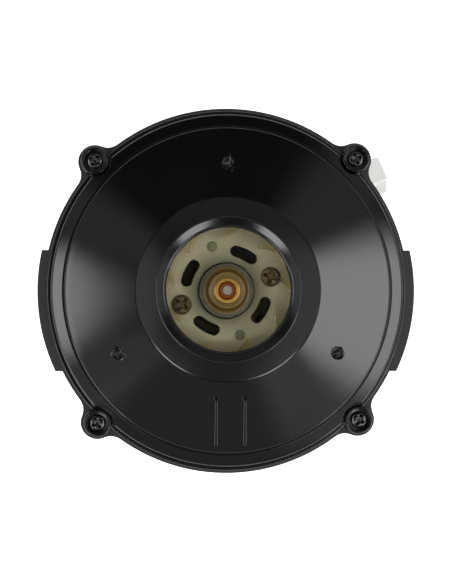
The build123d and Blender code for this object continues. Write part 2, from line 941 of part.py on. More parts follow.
def terminals():
    """Two brass tabs from the brush holders down through the end bell."""
    inside = can_rear + end_bell_thickness
    tab = Pos(terminal_radius, 0, can_rear - terminal_drop) * Box(
        terminal_thickness, terminal_width, inside - can_rear + terminal_drop, align=BASE)
    return round_about(2, tab)


def rear_mount():
    """Rubber cup round the back of the can, with a notch for the leads."""
    outer = can_radius + mount_wall
    top = can_rear + mount_grip
    groove = outer - mount_groove_depth
    middle = top / 2
    cavity = can_radius - mount_ledge
    cup = turned(
        (0, 0),
        (outer - mount_edge, 0),
        (outer, mount_edge),
        (outer, middle - mount_groove_width / 2),
        (groove, middle - mount_groove_width / 2),
        (groove, middle + mount_groove_width / 2),
        (outer, middle + mount_groove_width / 2),
        (outer, top - mount_edge),
        (outer - mount_edge, top),
        (can_radius, top),
        (can_radius, can_rear),
        (cavity, can_rear),
        (cavity, mount_base),
        (0, mount_base),
    )
    notch = Pos(0, -outer, mount_base) * Box(
        lead_notch_width, 4 * mount_wall, lead_notch_height, align=BASE)
    return cup - notch


# Routes of the two leads, from the terminals to the connector
LEAD_RED_ROUTE = [
    (14.5, -2.4, 6.0), (14.4, -8.2, 5.9), (10.8, -13.4, 5.4), (5.6, -17.0, 4.9),
    (3.0, -22.8, 4.2), (4.4, -29.8, 2.8), (10.0, -34.6, 1.4), (17.8, -33.0, 1.1),
    (25.6, -27.4, 1.1), (31.6, -19.6, 1.1), (35.6, -10.2, 1.1), (36.6, 0.4, 1.1),
    (35.2, 10.8, 1.1), (32.2, 19.8, 1.3), (31.0, 27.8, 2.2),
]
LEAD_BLACK_ROUTE = [
    (-14.5, -2.4, 6.0), (-14.4, -8.4, 5.9), (-10.9, -13.8, 5.4), (-5.4, -17.2, 4.9),
    (-1.6, -22.6, 4.2), (-0.8, -30.2, 2.8), (4.6, -37.4, 1.4), (13.2, -39.6, 1.1),
    (22.4, -35.6, 1.1), (30.2, -28.6, 1.1), (36.0, -19.6, 1.1), (39.4, -9.4, 1.1),
    (40.6, 1.4, 1.1), (39.4, 10.8, 1.1), (36.6, 18.0, 1.3), (34.8, 24.4, 2.2),
]


def connector_place():
    """Frame of the connector: its X runs out of the mating face."""
    reach = connector_reach - connector_length
    along = Rot(0, 0, connector_angle)
    return along * Pos(reach, -connector_side, 0)


def lead_end(side):
    """Where a lead enters the connector, and the point before it."""
    back = connector_place() * Pos(0, side * lead_pitch / 2, connector_height / 2)
    before = back * Pos(-lead_straight, 0, 0)
    return [tuple(before.position), tuple(back.position)]


def lead(name, route, side):
    """One lead as a round tube along straight runs with tangent arcs."""
    points = [Vector(*p) for p in route + lead_end(side)]
    radii = []
    for before, corner, after in zip(points, points[1:], points[2:]):
        turn = radians((corner - before).get_angle(after - corner))
        run = min((corner - before).length, (after - corner).length)
        radii.append(bend_share * run / tan(turn / 2))
    path = FilletPolyline(*points, radius=radii)
    start = Plane(origin=path @ 0, z_dir=path % 0)
    tube = sweep(start * Circle(lead_radius), path)
    ideal = pi * lead_radius ** 2 * path.length
    print(name, "radii", [round(r, 1) for r in radii], "length", round(path.length, 1),
          "volume ratio", round(tube.volume / ideal, 4))
    return tube


def connector_housing():
    """White two-way nylon housing with a slanted latch side."""
    half = connector_width / 2
    body = Box(connector_length, connector_width, connector_height,
               align=(Align.MIN, Align.CENTER, Align.MIN))
    body = chamfer(body.edges().filter_by(Axis.Z).group_by(Axis.X)[-1].sort_by(Axis.Y)[-1],
                   connector_chamfer)
    latch = make_face(Polyline(
        (0, -half),
        (connector_length, -half),
        (connector_length - latch_slant, -half - latch_width),
        (0, -half - latch_width),
        close=True,
    ))
    body += prism(latch, 0, latch_height)
    middle = connector_height / 2
    for side in (-1, 1):
        body -= Pos(connector_length, side * cavity_pitch / 2, middle) * Box(
            cavity_depth, cavity_width, cavity_height,
            align=(Align.MAX, Align.CENTER, Align.CENTER))
    return connector_place() * body


def connector_contacts():
    """Two brass pins standing in the housing's cavities."""
    middle = connector_height / 2
    pins = []
    for side in (-1, 1):
        pin = Pos(connector_length - cavity_depth, side * cavity_pitch / 2, middle) * Box(
            contact_length, contact_width, contact_width,
            align=(Align.MIN, Align.CENTER, Align.CENTER))
        pins.append(connector_place() * pin)
    return pins


def save(name, shape):
    """Write one sub-part, as one solid or as a group of separate solids."""
    solids = ShapeList(shape).solids() if isinstance(shape, list) else shape.solids()
    whole = solids[0] if len(solids) == 1 else Compound(children=list(solids))
    export_step(whole, "parts/" + name + ".step")


front_outer, front_inner, front_balls = bearing(front_bearing_bottom)
rear_outer, rear_inner, rear_balls = bearing(rear_bearing_bottom)

PIECES = {
    "fan_cover": fan_cover(),
    "inlet_ring": inlet_ring(),
    "cover_seal": cover_seal(),
    "cover_screws": cover_screws(),
    "fan_housing": fan_housing(),
    "diffuser": diffuser(),
    "impeller": impeller(),
    "impeller_shroud": impeller_shroud(),
    "impeller_bush": impeller_bush(),
    "lock_ring": lock_ring(),
    "shaft": shaft(),
    "front_bearing_outer_race": front_outer,
    "front_bearing_inner_race": front_inner,
    "front_bearing_balls": front_balls,
    "rear_bearing_outer_race": rear_outer,
    "rear_bearing_inner_race": rear_inner,
    "rear_bearing_balls": rear_balls,
    "motor_can": motor_can(),
    "motor_plate": motor_plate(),
    "motor_screws": motor_screws(),
    "plate_screws": plate_screws(),
    "flux_ring": flux_ring(),
    "magnets": magnets(),
    "magnet_clips": magnet_clips(),
    "armature_core": armature_core(),
    "core_insulators": core_insulators(),
    "armature_windings": armature_windings(),
    "commutator": commutator(),
    "shaft_spacers": shaft_spacers(),
    "end_bell": end_bell(),
    "brush_holders": brush_holders(),
    "brushes": brushes(),
    "brush_springs": brush_springs(),
    "terminals": terminals(),
    "rear_mount": rear_mount(),
    "lead_red": lead("lead_red", LEAD_RED_ROUTE, 1),
    "lead_black": lead("lead_black", LEAD_BLACK_ROUTE, -1),
    "connector_housing": connector_housing(),
    "connector_contacts": connector_contacts(),
}

for node, piece in PIECES.items():
    save(node, piece)
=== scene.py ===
# %% [markdown]
# # A vacuum motor unit
# A small motor drives a clear impeller under a black cover. The mechanism comes
# ready measured from the CAD frame, so this script only gives it its looks. It
# is written in cells: each one explains a piece or a finish, then makes it.

# %% Frame and tools
import json
import math
import random

import bmesh
import bpy
from mathutils import Matrix, Vector


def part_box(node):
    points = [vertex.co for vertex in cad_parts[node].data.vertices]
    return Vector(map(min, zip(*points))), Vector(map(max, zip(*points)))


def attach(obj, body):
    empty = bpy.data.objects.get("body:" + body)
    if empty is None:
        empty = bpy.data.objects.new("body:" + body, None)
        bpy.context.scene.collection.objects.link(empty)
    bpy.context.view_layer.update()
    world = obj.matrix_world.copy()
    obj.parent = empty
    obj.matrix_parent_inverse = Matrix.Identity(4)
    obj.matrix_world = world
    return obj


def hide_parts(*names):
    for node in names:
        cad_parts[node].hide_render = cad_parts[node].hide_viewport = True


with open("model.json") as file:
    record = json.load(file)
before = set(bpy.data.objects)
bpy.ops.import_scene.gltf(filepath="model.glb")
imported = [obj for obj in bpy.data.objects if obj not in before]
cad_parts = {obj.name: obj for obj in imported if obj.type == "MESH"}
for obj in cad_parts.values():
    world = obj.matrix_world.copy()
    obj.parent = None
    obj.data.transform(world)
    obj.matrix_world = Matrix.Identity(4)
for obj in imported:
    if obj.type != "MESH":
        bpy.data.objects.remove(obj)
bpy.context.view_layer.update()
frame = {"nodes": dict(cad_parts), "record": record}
MM = 0.001
print("nodes:", len(frame["nodes"]))


def box_top(node):
    """Greatest height of a CAD node, in metres."""
    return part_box(node)[1][2]


PLATE_TOP = box_top("motor_plate")
COVER_TOP = box_top("fan_cover")

# %% [markdown]
# ## Camera
# The photo looks straight into the inlet from about 0.8 m, a little from the
# left and from below: higher parts of the unit shift right and up in the
# picture. A long lens at that distance gives the same flat perspective.

# %% Camera
CAMERA_HEIGHT = 0.8
CAMERA_LEFT = 0.0336
CAMERA_BELOW = 0.0139
AIM_BELOW = 0.00037
LENS = 158.4
SENSOR_WIDTH = 36
VIEW_DEPTH = 20


def matrix_from_axes(x, y, z):
    """A rotation whose columns are three unit vectors."""
    return Matrix((x, y, z)).transposed()


def link_object(piece):
    """Put a new object in the scene."""
    bpy.context.scene.collection.objects.link(piece)
    return piece


def add_camera():
    """A long-lens camera above the inlet, aimed at the motor's face."""
    data = bpy.data.cameras.new("camera")
    data.lens = LENS
    data.sensor_width = SENSOR_WIDTH
    data.clip_end = VIEW_DEPTH
    camera = link_object(bpy.data.objects.new("camera", data))
    aim = Vector((0, -AIM_BELOW, PLATE_TOP))
    camera.location = aim + Vector((-CAMERA_LEFT, -CAMERA_BELOW, CAMERA_HEIGHT))
    forward = (aim - camera.location).normalized()
    right = forward.cross(Vector((0, 1, 0))).normalized()
    up = right.cross(forward)
    camera.rotation_euler = matrix_from_axes(right, up, -forward).to_euler()
    bpy.context.scene.camera = camera
    return camera


camera = add_camera()
print("camera at", [round(v, 3) for v in camera.location])

# %% [markdown]
# ## Leads
# Two limp leads leave the terminals, pass the notch in the rubber mount and lie
# on the floor behind the housing, where the photo can't see them. Each is one
# NURBS curve of order 3 through listed route points, so it bends smoothly
# like real wire, and its bevel gives it the insulation's thickness.

# %% Leads
LEAD_DIAMETER = 0.002
LEAD_STEPS = 12
LEAD_ROUNDNESS = 6
RED_ROUTE = [
    (14.5, -2.4, 6.0), (14.4, -8.2, 5.9), (10.8, -13.4, 5.4), (5.6, -17.0, 4.9),
    (3.0, -22.8, 4.2), (4.4, -29.8, 2.8), (10.0, -34.6, 1.4), (17.8, -33.0, 1.1),
    (25.6, -27.4, 1.1), (31.6, -19.6, 1.1), (35.6, -10.2, 1.1), (36.6, 0.4, 1.1),
    (35.2, 10.8, 1.1), (32.2, 19.8, 1.3), (31.0, 27.8, 2.2), (34.89, 36.02, 3.5),
    (41.78, 38.99, 3.5),
]
BLACK_ROUTE = [
    (-14.5, -2.4, 6.0), (-14.4, -8.4, 5.9), (-10.9, -13.8, 5.4), (-5.4, -17.2, 4.9),
    (-1.6, -22.6, 4.2), (-0.8, -30.2, 2.8), (4.6, -37.4, 1.4), (13.2, -39.6, 1.1),
    (22.4, -35.6, 1.1), (30.2, -28.6, 1.1), (36.0, -19.6, 1.1), (39.4, -9.4, 1.1),
    (40.6, 1.4, 1.1), (39.4, 10.8, 1.1), (36.6, 18.0, 1.3), (34.8, 24.4, 2.2),
    (36.46, 32.38, 3.5), (43.35, 35.35, 3.5),
]


def route_curve(name, route):
    """One NURBS spline along the route; its points carry the wire's radius."""
    data = bpy.data.curves.new(name, "CURVE")
    data.dimensions = "3D"
    spline = data.splines.new("NURBS")
    spline.points.add(len(route) - 1)
    for point, place in zip(spline.points, route):
        point.co = (*(MM * v for v in place), 1)
        point.radius = LEAD_DIAMETER / 2
    spline.order_u = 3
    spline.use_endpoint_u = True
    data.resolution_u = LEAD_STEPS
    data.bevel_depth = 1.0
    data.bevel_resolution = LEAD_ROUNDNESS
    data.use_fill_caps = True
    return link_object(bpy.data.objects.new(name, data))


def route_length(piece):
    """Length of the bare spline, in metres."""
    bare = piece.data.copy()
    bare.bevel_depth = 0
    line = bpy.data.objects.new("measured", bare)
    mesh = bpy.data.meshes.new_from_object(line)
    points = [v.co.copy() for v in mesh.vertices]
    bpy.data.objects.remove(line)
    bpy.data.meshes.remove(mesh)
    return sum((b - a).length for a, b in zip(points, points[1:]))


def add_lead(name, route, node):
    """A finished lead that stands for its CAD tube."""
    piece = route_curve(name, route)
    length = route_length(piece)
    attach(piece, "motor_unit")
    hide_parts(node)
    print(name, "is", round(length * 1000), "mm long")
    return piece


red_lead = add_lead("red_wire", RED_ROUTE, "lead_red")
black_lead = add_lead("black_wire", BLACK_ROUTE, "lead_black")

# %% [markdown]
# ## Node helpers
# Finishes, lamps and many pieces are built from nodes. A few short helpers serve
# every tree: they add a node, fill its inputs, pick its output, join two sockets
# and do one step of arithmetic.

# %% Node helpers
MERGE = 1e-6


def link(tree, source, target):
    """Join an output socket to an input socket."""
    tree.links.new(source, target)


def fill(tree, node, inputs):
    """Give a node's inputs their values or links, by name or by place."""
    for key, value in inputs.items():
        socket = node.inputs[key] if isinstance(key, int) else next(
            s for s in node.inputs if s.name == key and s.enabled)
        if isinstance(value, bpy.types.NodeSocket):
            link(tree, value, socket)
        else:
            socket.default_value = value
    return node


def add(tree, kind, inputs=None, **settings):
    """Add a node, set it up, and fill its inputs."""
    node = tree.nodes.new(kind)
    for label, value in settings.items():
        setattr(node, label, value)
    return fill(tree, node, inputs or {})


def out(node, label=None):
    """The enabled output of a node, by its name or simply the first."""
    return next(s for s in node.outputs if s.enabled and label in (None, s.name))


def calc(tree, operation, first, second=0.0):
    """One step of arithmetic."""
    return out(add(tree, "ShaderNodeMath", {0: first, 1: second}, operation=operation))


def axis_distance(tree, parts):
    """Distance from the Z axis, from the node that separates a place."""
    squares = [calc(tree, "MULTIPLY", parts.outputs[axis], parts.outputs[axis]) for axis in "XY"]
    return calc(tree, "SQRT", calc(tree, "ADD", *squares))


# %% [markdown]
# ## Shared shader groups
# Several finishes share the same small faults: the fine grain of moulded
# plastic, soft handling marks, and the faint lines that rolling or turning
# leaves on metal. Each is a node group with named inputs, built once.

# %% Shader groups
def shader_group(name, inputs, outputs):
    """An empty shader group with float inputs and outputs, plus its two end nodes."""
    group = bpy.data.node_groups.new(name, "ShaderNodeTree")
    for label, default in inputs:
        socket = group.interface.new_socket(label, in_out="INPUT", socket_type="NodeSocketFloat")
        socket.default_value = default
    for label in outputs:
        group.interface.new_socket(label, in_out="OUTPUT", socket_type="NodeSocketFloat")
    return group, group.nodes.new("NodeGroupInput"), group.nodes.new("NodeGroupOutput")


def make_grain_group():
    """Fine moulded grain: a height for a bump, and a slow variation for colour."""
    group, start, end = shader_group(
        "Moulded grain", [("Scale", 3000.0), ("Variation scale", 40.0)], ["Height", "Variation"])
    place = add(group, "ShaderNodeTexCoord").outputs["Object"]
    for scale, detail, target in (("Scale", 2, "Height"), ("Variation scale", 3, "Variation")):
        noise = add(group, "ShaderNodeTexNoise", {
            "Vector": place, "Scale": start.outputs[scale], "Detail": detail})
        link(group, noise.outputs["Fac"], end.inputs[target])
    return group


def make_turned_group():
    """Concentric tool marks round the shaft axis, broken up by noise."""
    group, start, end = shader_group(
        "Turned marks", [("Rings per metre", 4000.0), ("Break-up", 0.35), ("Patch scale", 120.0)],
        ["Height", "Mask"])
    place = add(group, "ShaderNodeTexCoord").outputs["Object"]
    radius = axis_distance(group, add(group, "ShaderNodeSeparateXYZ", {0: place}))
    rings = add(group, "ShaderNodeTexNoise", {
        "W": calc(group, "MULTIPLY", radius, start.outputs["Rings per metre"]), "Detail": 4},
        noise_dimensions="1D").outputs["Fac"]
    patch = add(group, "ShaderNodeTexNoise", {
        "Vector": place, "Scale": start.outputs["Patch scale"]}).outputs["Fac"]
    broken = calc(group, "MULTIPLY", patch, start.outputs["Break-up"])
    link(group, rings, end.inputs["Height"])
    link(group, calc(group, "ADD", broken, rings), end.inputs["Mask"])
    return group


GRAIN = make_grain_group()
TURNED = make_turned_group()
print("groups:", GRAIN.name, "and", TURNED.name)

# %% [markdown]
# ## Finishes
# One function makes each finish: a Principled shader whose colour and roughness
# vary a little over the surface, and whose bump comes from one of the groups.
# Numbers that are the same all over sit on the shader's own sockets.

# %% Finish builder
def finish(name, colour, roughness, group=GRAIN, metallic=0.0, spread=0.15,
           rough_spread=0.1, bump=0.1, bump_depth=0.00005, **sockets):
    """A material whose colour and roughness follow a group's slow variation."""
    material = bpy.data.materials.new(name)
    material.use_nodes = True
    tree = material.node_tree
    marks = add(tree, "ShaderNodeGroup", node_tree=group)
    slow = marks.outputs["Variation" if group == GRAIN else "Mask"]
    darker, lighter = ((*(min(c * share, 1) for c in colour), 1)
                       for share in (1 - spread, 1 + spread))
    tint = add(tree, "ShaderNodeMix", {"Factor": slow, "A": darker, "B": lighter},
               data_type="RGBA")
    rough = add(tree, "ShaderNodeMapRange", {
        "Value": slow, "To Min": roughness * (1 - rough_spread),
        "To Max": roughness * (1 + rough_spread)})
    relief = add(tree, "ShaderNodeBump", {
        "Height": marks.outputs["Height"], "Strength": bump, "Distance": bump_depth})
    fill(tree, tree.nodes["Principled BSDF"], {
        "Metallic": metallic, "Base Color": out(tint), "Roughness": out(rough),
        "Normal": out(relief),
        **{label.replace("_", " "): value for label, value in sockets.items()}})
    return material


# Name, colour, roughness, and what differs from the builder's own settings
FINISH_TABLE = (
    ("gloss_black", (0.0022, 0.0022, 0.0023), 0.11, dict(bump=0.02)),
    ("matte_black", (0.016, 0.016, 0.016), 0.5, dict(bump=0.5)),
    ("seal_rubber", (0.02, 0.02, 0.02), 0.75, dict(bump=0.4)),
    ("clear_amber", (0.95, 0.94, 0.86), 0.05,
     dict(bump=0.02, spread=0.02, Transmission_Weight=1.0, IOR=1.49)),
    ("amber_hub", (0.16, 0.1, 0.024), 0.22,
     dict(group=TURNED, spread=0.5, bump=0.5, Transmission_Weight=0.3, IOR=1.49)),
    ("zinc_plate", (0.9, 0.89, 0.82), 0.48, dict(metallic=1.0, spread=0.1, bump=0.15)),
    ("pressed_zinc_and_shade", (0.42, 0.44, 0.38), 0.55, dict(metallic=1.0, bump=0.2)),
    ("zinc_can", (0.5, 0.5, 0.48), 0.4, dict(metallic=1.0, bump=0.15)),
    ("ground_steel", (0.5, 0.42, 0.36), 0.28, dict(metallic=1.0, bump=0.1)),
    ("steel", (0.6, 0.6, 0.6), 0.3, dict(metallic=1.0, group=TURNED, bump=0.1)),
    ("brass", (0.55, 0.33, 0.075), 0.26, dict(metallic=1.0, group=TURNED, bump=0.1)),
    ("lock_red", (0.22, 0.055, 0.008), 0.3, dict(bump=0.5)),
    ("black_screw", (0.1, 0.1, 0.1), 0.14, dict(metallic=1.0, bump=0.1)),
    ("aged_screw", (0.42, 0.35, 0.26), 0.45,
     dict(metallic=1.0, spread=0.8, bump=1.0, bump_depth=0.0003)),
    ("laminations", (0.2, 0.2, 0.21), 0.5, dict(metallic=1.0, bump=0.3)),
    ("copper", (0.65, 0.25, 0.12), 0.35, dict(metallic=1.0, bump=0.4)),
    ("ferrite", (0.07, 0.07, 0.07), 0.6, dict(bump=0.4)),
    ("carbon", (0.03, 0.03, 0.03), 0.55, dict(bump=0.3)),
    ("fibre", (0.33, 0.24, 0.12), 0.7, dict(bump=0.3)),
    ("white_nylon", (0.78, 0.78, 0.76), 0.4, dict(spread=0.03, bump=0.05)),
    ("red_lead", (0.45, 0.015, 0.015), 0.4, dict(bump=0.05)),
    ("black_lead", (0.015, 0.015, 0.015), 0.4, dict(bump=0.05)),
)
FINISHES = {name: finish(name, colour, roughness, **settings)
            for name, colour, roughness, settings in FINISH_TABLE}
AMBER = (0.95, 0.82, 0.3)
AMBER_DENSITY = 150.0
# Painted shade on the zinc: its darkest share near the shaft, and the radii in millimetres over
# which it fades out
BOSS_SHADE = 0.42
BOSS_SHADE_START = 8.0
BOSS_SHADE_END = 17.0


def tint_inside(material, colour, density):
    """Let light lose colour on its way through the plastic, more where it is thick."""
    tree = material.node_tree
    loss = add(tree, "ShaderNodeVolumeAbsorption", {"Color": (*colour, 1), "Density": density})
    link(tree, out(loss), tree.nodes["Material Output"].inputs["Volume"])


def paint_shade_round_boss(material, darkest_share, inner, outer):
    """Darken a finish towards the shaft with painted shade, so the zinc looks shaded near the boss
    and lit further out.
    """
    tree = material.node_tree
    base = tree.nodes["Principled BSDF"].inputs["Base Color"]
    place = add(tree, "ShaderNodeTexCoord").outputs["Object"]
    shade = add(tree, "ShaderNodeMapRange", {
        "Value": axis_distance(tree, add(tree, "ShaderNodeSeparateXYZ", {0: place})),
        "From Min": inner * MM, "From Max": outer * MM, "To Min": darkest_share},
        interpolation_type="SMOOTHSTEP")
    mixed = add(tree, "ShaderNodeMix", {
        "Factor": 1.0, "A": base.links[0].from_socket, "B": out(shade)},
        data_type="RGBA", blend_type="MULTIPLY")
    link(tree, out(mixed), base)


for slot in ("clear_amber", "amber_hub"):
    tint_inside(FINISHES[slot], AMBER, AMBER_DENSITY)
# Painted shade and light: the zinc darkens towards the shaft and keeps its full colour outwards,
# standing in for how light reaches the plate through the bell mouth
for slot in ("zinc_plate", "zinc_can"):
    paint_shade_round_boss(FINISHES[slot], BOSS_SHADE, BOSS_SHADE_START, BOSS_SHADE_END)
SLOT_OF = {part["node"]: part["material_slot"] for part in frame["record"]["subparts"]}


def dress(piece, slot):
    """Give a piece one finish all over."""
    piece.data.materials.clear()
    piece.data.materials.append(FINISHES[slot])


for node, piece in frame["nodes"].items():
    dress(piece, SLOT_OF[node])
for node in ("motor_can", "flux_ring"):
    dress(frame["nodes"][node], "zinc_can")
dress(frame["nodes"]["shaft"], "ground_steel")
dress(red_lead, "red_lead")
dress(black_lead, "black_lead")
print("finishes:", len(FINISHES))

# %% [markdown]
# ## Turned pieces
# The cover, the bell mouth, the hub and every screw head are round about an axis.
# A maker turns such a part on a lathe; here Geometry Nodes do the same. The
# modifier gets only the outline as a row of points. A grid has one column of
# vertices for each step round the axis, each vertex looks up its outline point by
# its index, and sine and cosine bring it round. One tree makes every turned piece.

# %% Turning tree
def geometry_group(name, inputs):
    """An empty geometry group with named inputs, and its two end nodes."""
    group = bpy.data.node_groups.new(name, "GeometryNodeTree")
    group.interface.new_socket("Geometry", in_out="INPUT", socket_type="NodeSocketGeometry")
    for label, kind, value in inputs:
        socket = group.interface.new_socket(label, in_out="INPUT", socket_type=kind)
        if value is not None:
            socket.default_value = value
    group.interface.new_socket("Geometry", in_out="OUTPUT", socket_type="NodeSocketGeometry")
    return group, group.nodes.new("NodeGroupInput"), group.nodes.new("NodeGroupOutput")


def close_group(group, start, end, geometry):
    """Every tree ends the same way: real geometry that carries its finish."""
    real = add(group, "GeometryNodeRealizeInstances", {0: geometry})
    finished = add(group, "GeometryNodeSetMaterial", {
        "Geometry": out(real), "Material": start.outputs["Finish"]})
    link(group, out(finished), end.inputs[0])


def make_turning_group():
    """Turn an outline of points about the Z axis."""
    group, start, end = geometry_group("Turned piece", [
        ("Steps round", "NodeSocketInt", 128), ("Finish", "NodeSocketMaterial", None)])
    outline = start.outputs["Geometry"]
    rows = out(add(group, "GeometryNodeAttributeDomainSize", {0: outline}), "Point Count")
    closed_rows = calc(group, "ADD", rows, 1)
    grid = add(group, "GeometryNodeMeshGrid", {
        "Vertices X": calc(group, "ADD", start.outputs["Steps round"], 1),
        "Vertices Y": closed_rows})
    index = out(add(group, "GeometryNodeInputIndex"))
    column = calc(group, "FLOOR", calc(group, "DIVIDE", index, closed_rows))
    row = calc(group, "SUBTRACT", index, calc(group, "MULTIPLY", column, closed_rows))
    corner = add(group, "GeometryNodeSampleIndex", {
        "Geometry": outline, "Value": out(add(group, "GeometryNodeInputPosition")),
        "Index": calc(group, "MODULO", row, rows)}, data_type="FLOAT_VECTOR")
    split = add(group, "ShaderNodeSeparateXYZ", {0: out(corner)})
    share = calc(group, "DIVIDE", column, start.outputs["Steps round"])
    angle = calc(group, "MULTIPLY", share, 2 * math.pi)
    place = add(group, "ShaderNodeCombineXYZ", {
        "X": calc(group, "MULTIPLY", split.outputs["X"], calc(group, "COSINE", angle)),
        "Y": calc(group, "MULTIPLY", split.outputs["X"], calc(group, "SINE", angle)),
        "Z": split.outputs["Z"]})
    moved = add(group, "GeometryNodeSetPosition", {
        "Geometry": out(grid, "Mesh"), "Position": out(place)})
    merged = add(group, "GeometryNodeMergeByDistance", {"Geometry": out(moved), "Distance": MERGE})
    close_group(group, start, end, out(merged))
    return group


TURNING = make_turning_group()

# %% Making pieces
CORNER_STEPS = 6
SHARP_ANGLE = math.radians(32)
FLAT_ANGLE = math.radians(0.2)
NORMAL_WEIGHT = 80
WELD = 2e-7  # metres within which two corners are one


def rounded_outline(corners):
    """Outline points in metres from (radius, height, rounding) corners in millimetres."""
    points = []
    for k, (r, z, rounding) in enumerate(corners):
        here = Vector((r, z))
        if rounding == 0:
            points.append(here)
            continue
        back = (Vector(corners[k - 1][:2]) - here).normalized()
        ahead = (Vector(corners[(k + 1) % len(corners)][:2]) - here).normalized()
        half = back.angle(ahead) / 2
        centre = here + (back + ahead).normalized() * rounding / math.sin(half)
        first = here + back * rounding / math.tan(half) - centre
        last = here + ahead * rounding / math.tan(half) - centre
        for step in range(CORNER_STEPS + 1):
            share = step / CORNER_STEPS
            points.append(centre + first.slerp(last, share) * rounding)
    return [(p.x * MM, 0, p.y * MM) for p in points]


def keep_modified(piece):
    """Replace an object's mesh by what its modifiers make of it, and drop them."""
    graph = bpy.context.evaluated_depsgraph_get()
    made = bpy.data.meshes.new_from_object(piece.evaluated_get(graph), depsgraph=graph)
    piece.modifiers.clear()
    piece.data = made
    made.name = piece.name
    return piece


def tidy_mesh(mesh):
    """Point all faces outwards, and shade smoothly except across sharp edges."""
    work = bmesh.new()
    work.from_mesh(mesh)
    bmesh.ops.remove_doubles(work, verts=work.verts, dist=WELD / 2)
    bmesh.ops.recalc_face_normals(work, faces=work.faces)
    work.to_mesh(mesh)
    work.free()
    mesh.polygons.foreach_set("use_smooth", [True] * len(mesh.polygons))
    mesh.set_sharp_from_angle(angle=SHARP_ANGLE)


def run_nodes(name, mesh, group, values):
    """Feed a mesh to a geometry group, and keep the outcome as a plain mesh."""
    piece = link_object(bpy.data.objects.new(name, mesh))
    modifier = piece.modifiers.new(group.name, "NODES")
    modifier.node_group = group
    for item in group.interface.items_tree:
        if item.item_type == "SOCKET" and item.name in values:
            modifier[item.identifier] = values[item.name]
    keep_modified(piece)
    tidy_mesh(piece.data)
    return piece


def turn(name, corners, slot, steps=192):
    """A turned piece from its corners."""
    mesh = bpy.data.meshes.new(name + "_outline")
    mesh.from_pydata(rounded_outline(corners), [], [])
    return run_nodes(name, mesh, TURNING, {"Steps round": steps, "Finish": FINISHES[slot]})


def combine(piece, tool, operation):
    """Add, cut or keep the common part of two pieces; the tool is used up."""
    modifier = piece.modifiers.new("combine", "BOOLEAN")
    modifier.operation = operation
    modifier.solver = "EXACT"
    modifier.object = tool
    keep_modified(piece)
    bpy.data.objects.remove(tool)
    return piece


def close_slits(mesh):
    """Join both sides of a slit without width, which a bevel can leave on an edge."""
    work = bmesh.new()
    work.from_mesh(mesh)
    open_edges = [edge for edge in work.edges if len(edge.link_faces) == 1]
    rims = list(dict.fromkeys(corner for edge in open_edges for corner in edge.verts))
    places = [corner.co.copy() for corner in rims]
    for edge in open_edges:
        corner, far = edge.verts
        start, along = corner.co.copy(), far.co - corner.co
        shares = []
        for place in places:
            share = (place - start).dot(along) / along.length_squared
            margin = WELD / along.length
            if margin < share < 1 - margin and (start + along * share - place).length < WELD:
                shares.append(share)
        done = 0.0
        for share in sorted(shares):
            _, corner = bmesh.utils.edge_split(edge, corner, (share - done) / (1 - done))
            rims.append(corner)
            done = share
    if rims:
        bmesh.ops.remove_doubles(work, verts=rims, dist=WELD)
        work.to_mesh(mesh)
    work.free()


def soften(piece, width, segments=2, angle=40.0):
    """Round the sharp edges of a piece a little, as a mould or a file does."""
    modifier = piece.modifiers.new("soften", "BEVEL")
    modifier.width = width * MM
    modifier.segments = segments
    modifier.limit_method = "ANGLE"
    modifier.angle_limit = math.radians(angle)
    modifier.use_clamp_overlap = False
    modifier.miter_outer = "MITER_ARC"
    keep_modified(piece)
    close_slits(piece.data)
    return settle_normals(piece)


def settle_normals(piece):
    """Let large faces decide the shading at their corners, so flat parts look flat."""
    piece.data.polygons.foreach_set("use_smooth", [True] * len(piece.data.polygons))
    piece.data.set_sharp_from_angle(angle=SHARP_ANGLE)
    modifier = piece.modifiers.new("settle", "WEIGHTED_NORMAL")
    modifier.keep_sharp = True
    modifier.weight = NORMAL_WEIGHT
    return keep_modified(piece)


def finish_piece(piece, body, node, slot):
    """Dress a finished piece, let it ride, and let it stand for its node."""
    dress(piece, slot)
    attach(piece, body)
    if node:
        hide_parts(node)
    print(piece.name + ":", len(piece.data.polygons), "faces")


# %% [markdown]
# ## Rings of copies
# Screws, blades and moulding gates repeat round the shaft. The second tree takes
# one piece, puts a point on a circle for each copy, and instances the piece on
# the points. Each copy may also be twisted about its own axis by a random angle
# with a fixed seed, because nobody drives four screws to the same angle.

# %% Copies tree
def make_copies_group():
    """Instances of a piece on a circle round the shaft."""
    group, start, end = geometry_group("Ring of copies", [
        ("Count", "NodeSocketInt", 4), ("Circle", "NodeSocketFloat", 0.0),
        ("First angle", "NodeSocketFloat", 0.0), ("Twist", "NodeSocketFloat", 0.0),
        ("Seed", "NodeSocketInt", 1), ("Finish", "NodeSocketMaterial", None)])
    index = out(add(group, "GeometryNodeInputIndex"))
    share = calc(group, "DIVIDE", index, start.outputs["Count"])
    angle = calc(group, "ADD", calc(group, "MULTIPLY", share, 2 * math.pi),
                 start.outputs["First angle"])
    place = add(group, "ShaderNodeCombineXYZ", {
        "X": calc(group, "MULTIPLY", start.outputs["Circle"], calc(group, "COSINE", angle)),
        "Y": calc(group, "MULTIPLY", start.outputs["Circle"], calc(group, "SINE", angle))})
    points = add(group, "GeometryNodePoints", {
        "Count": start.outputs["Count"], "Position": out(place)})
    chance = add(group, "FunctionNodeRandomValue", {
        "Max": start.outputs["Twist"], "Seed": start.outputs["Seed"]})
    spin = add(group, "ShaderNodeCombineXYZ", {"Z": calc(group, "ADD", angle, out(chance))})
    copies = add(group, "GeometryNodeInstanceOnPoints", {
        "Points": out(points), "Instance": start.outputs["Geometry"], "Rotation": out(spin)})
    close_group(group, start, end, out(copies))
    return group


COPIES = make_copies_group()


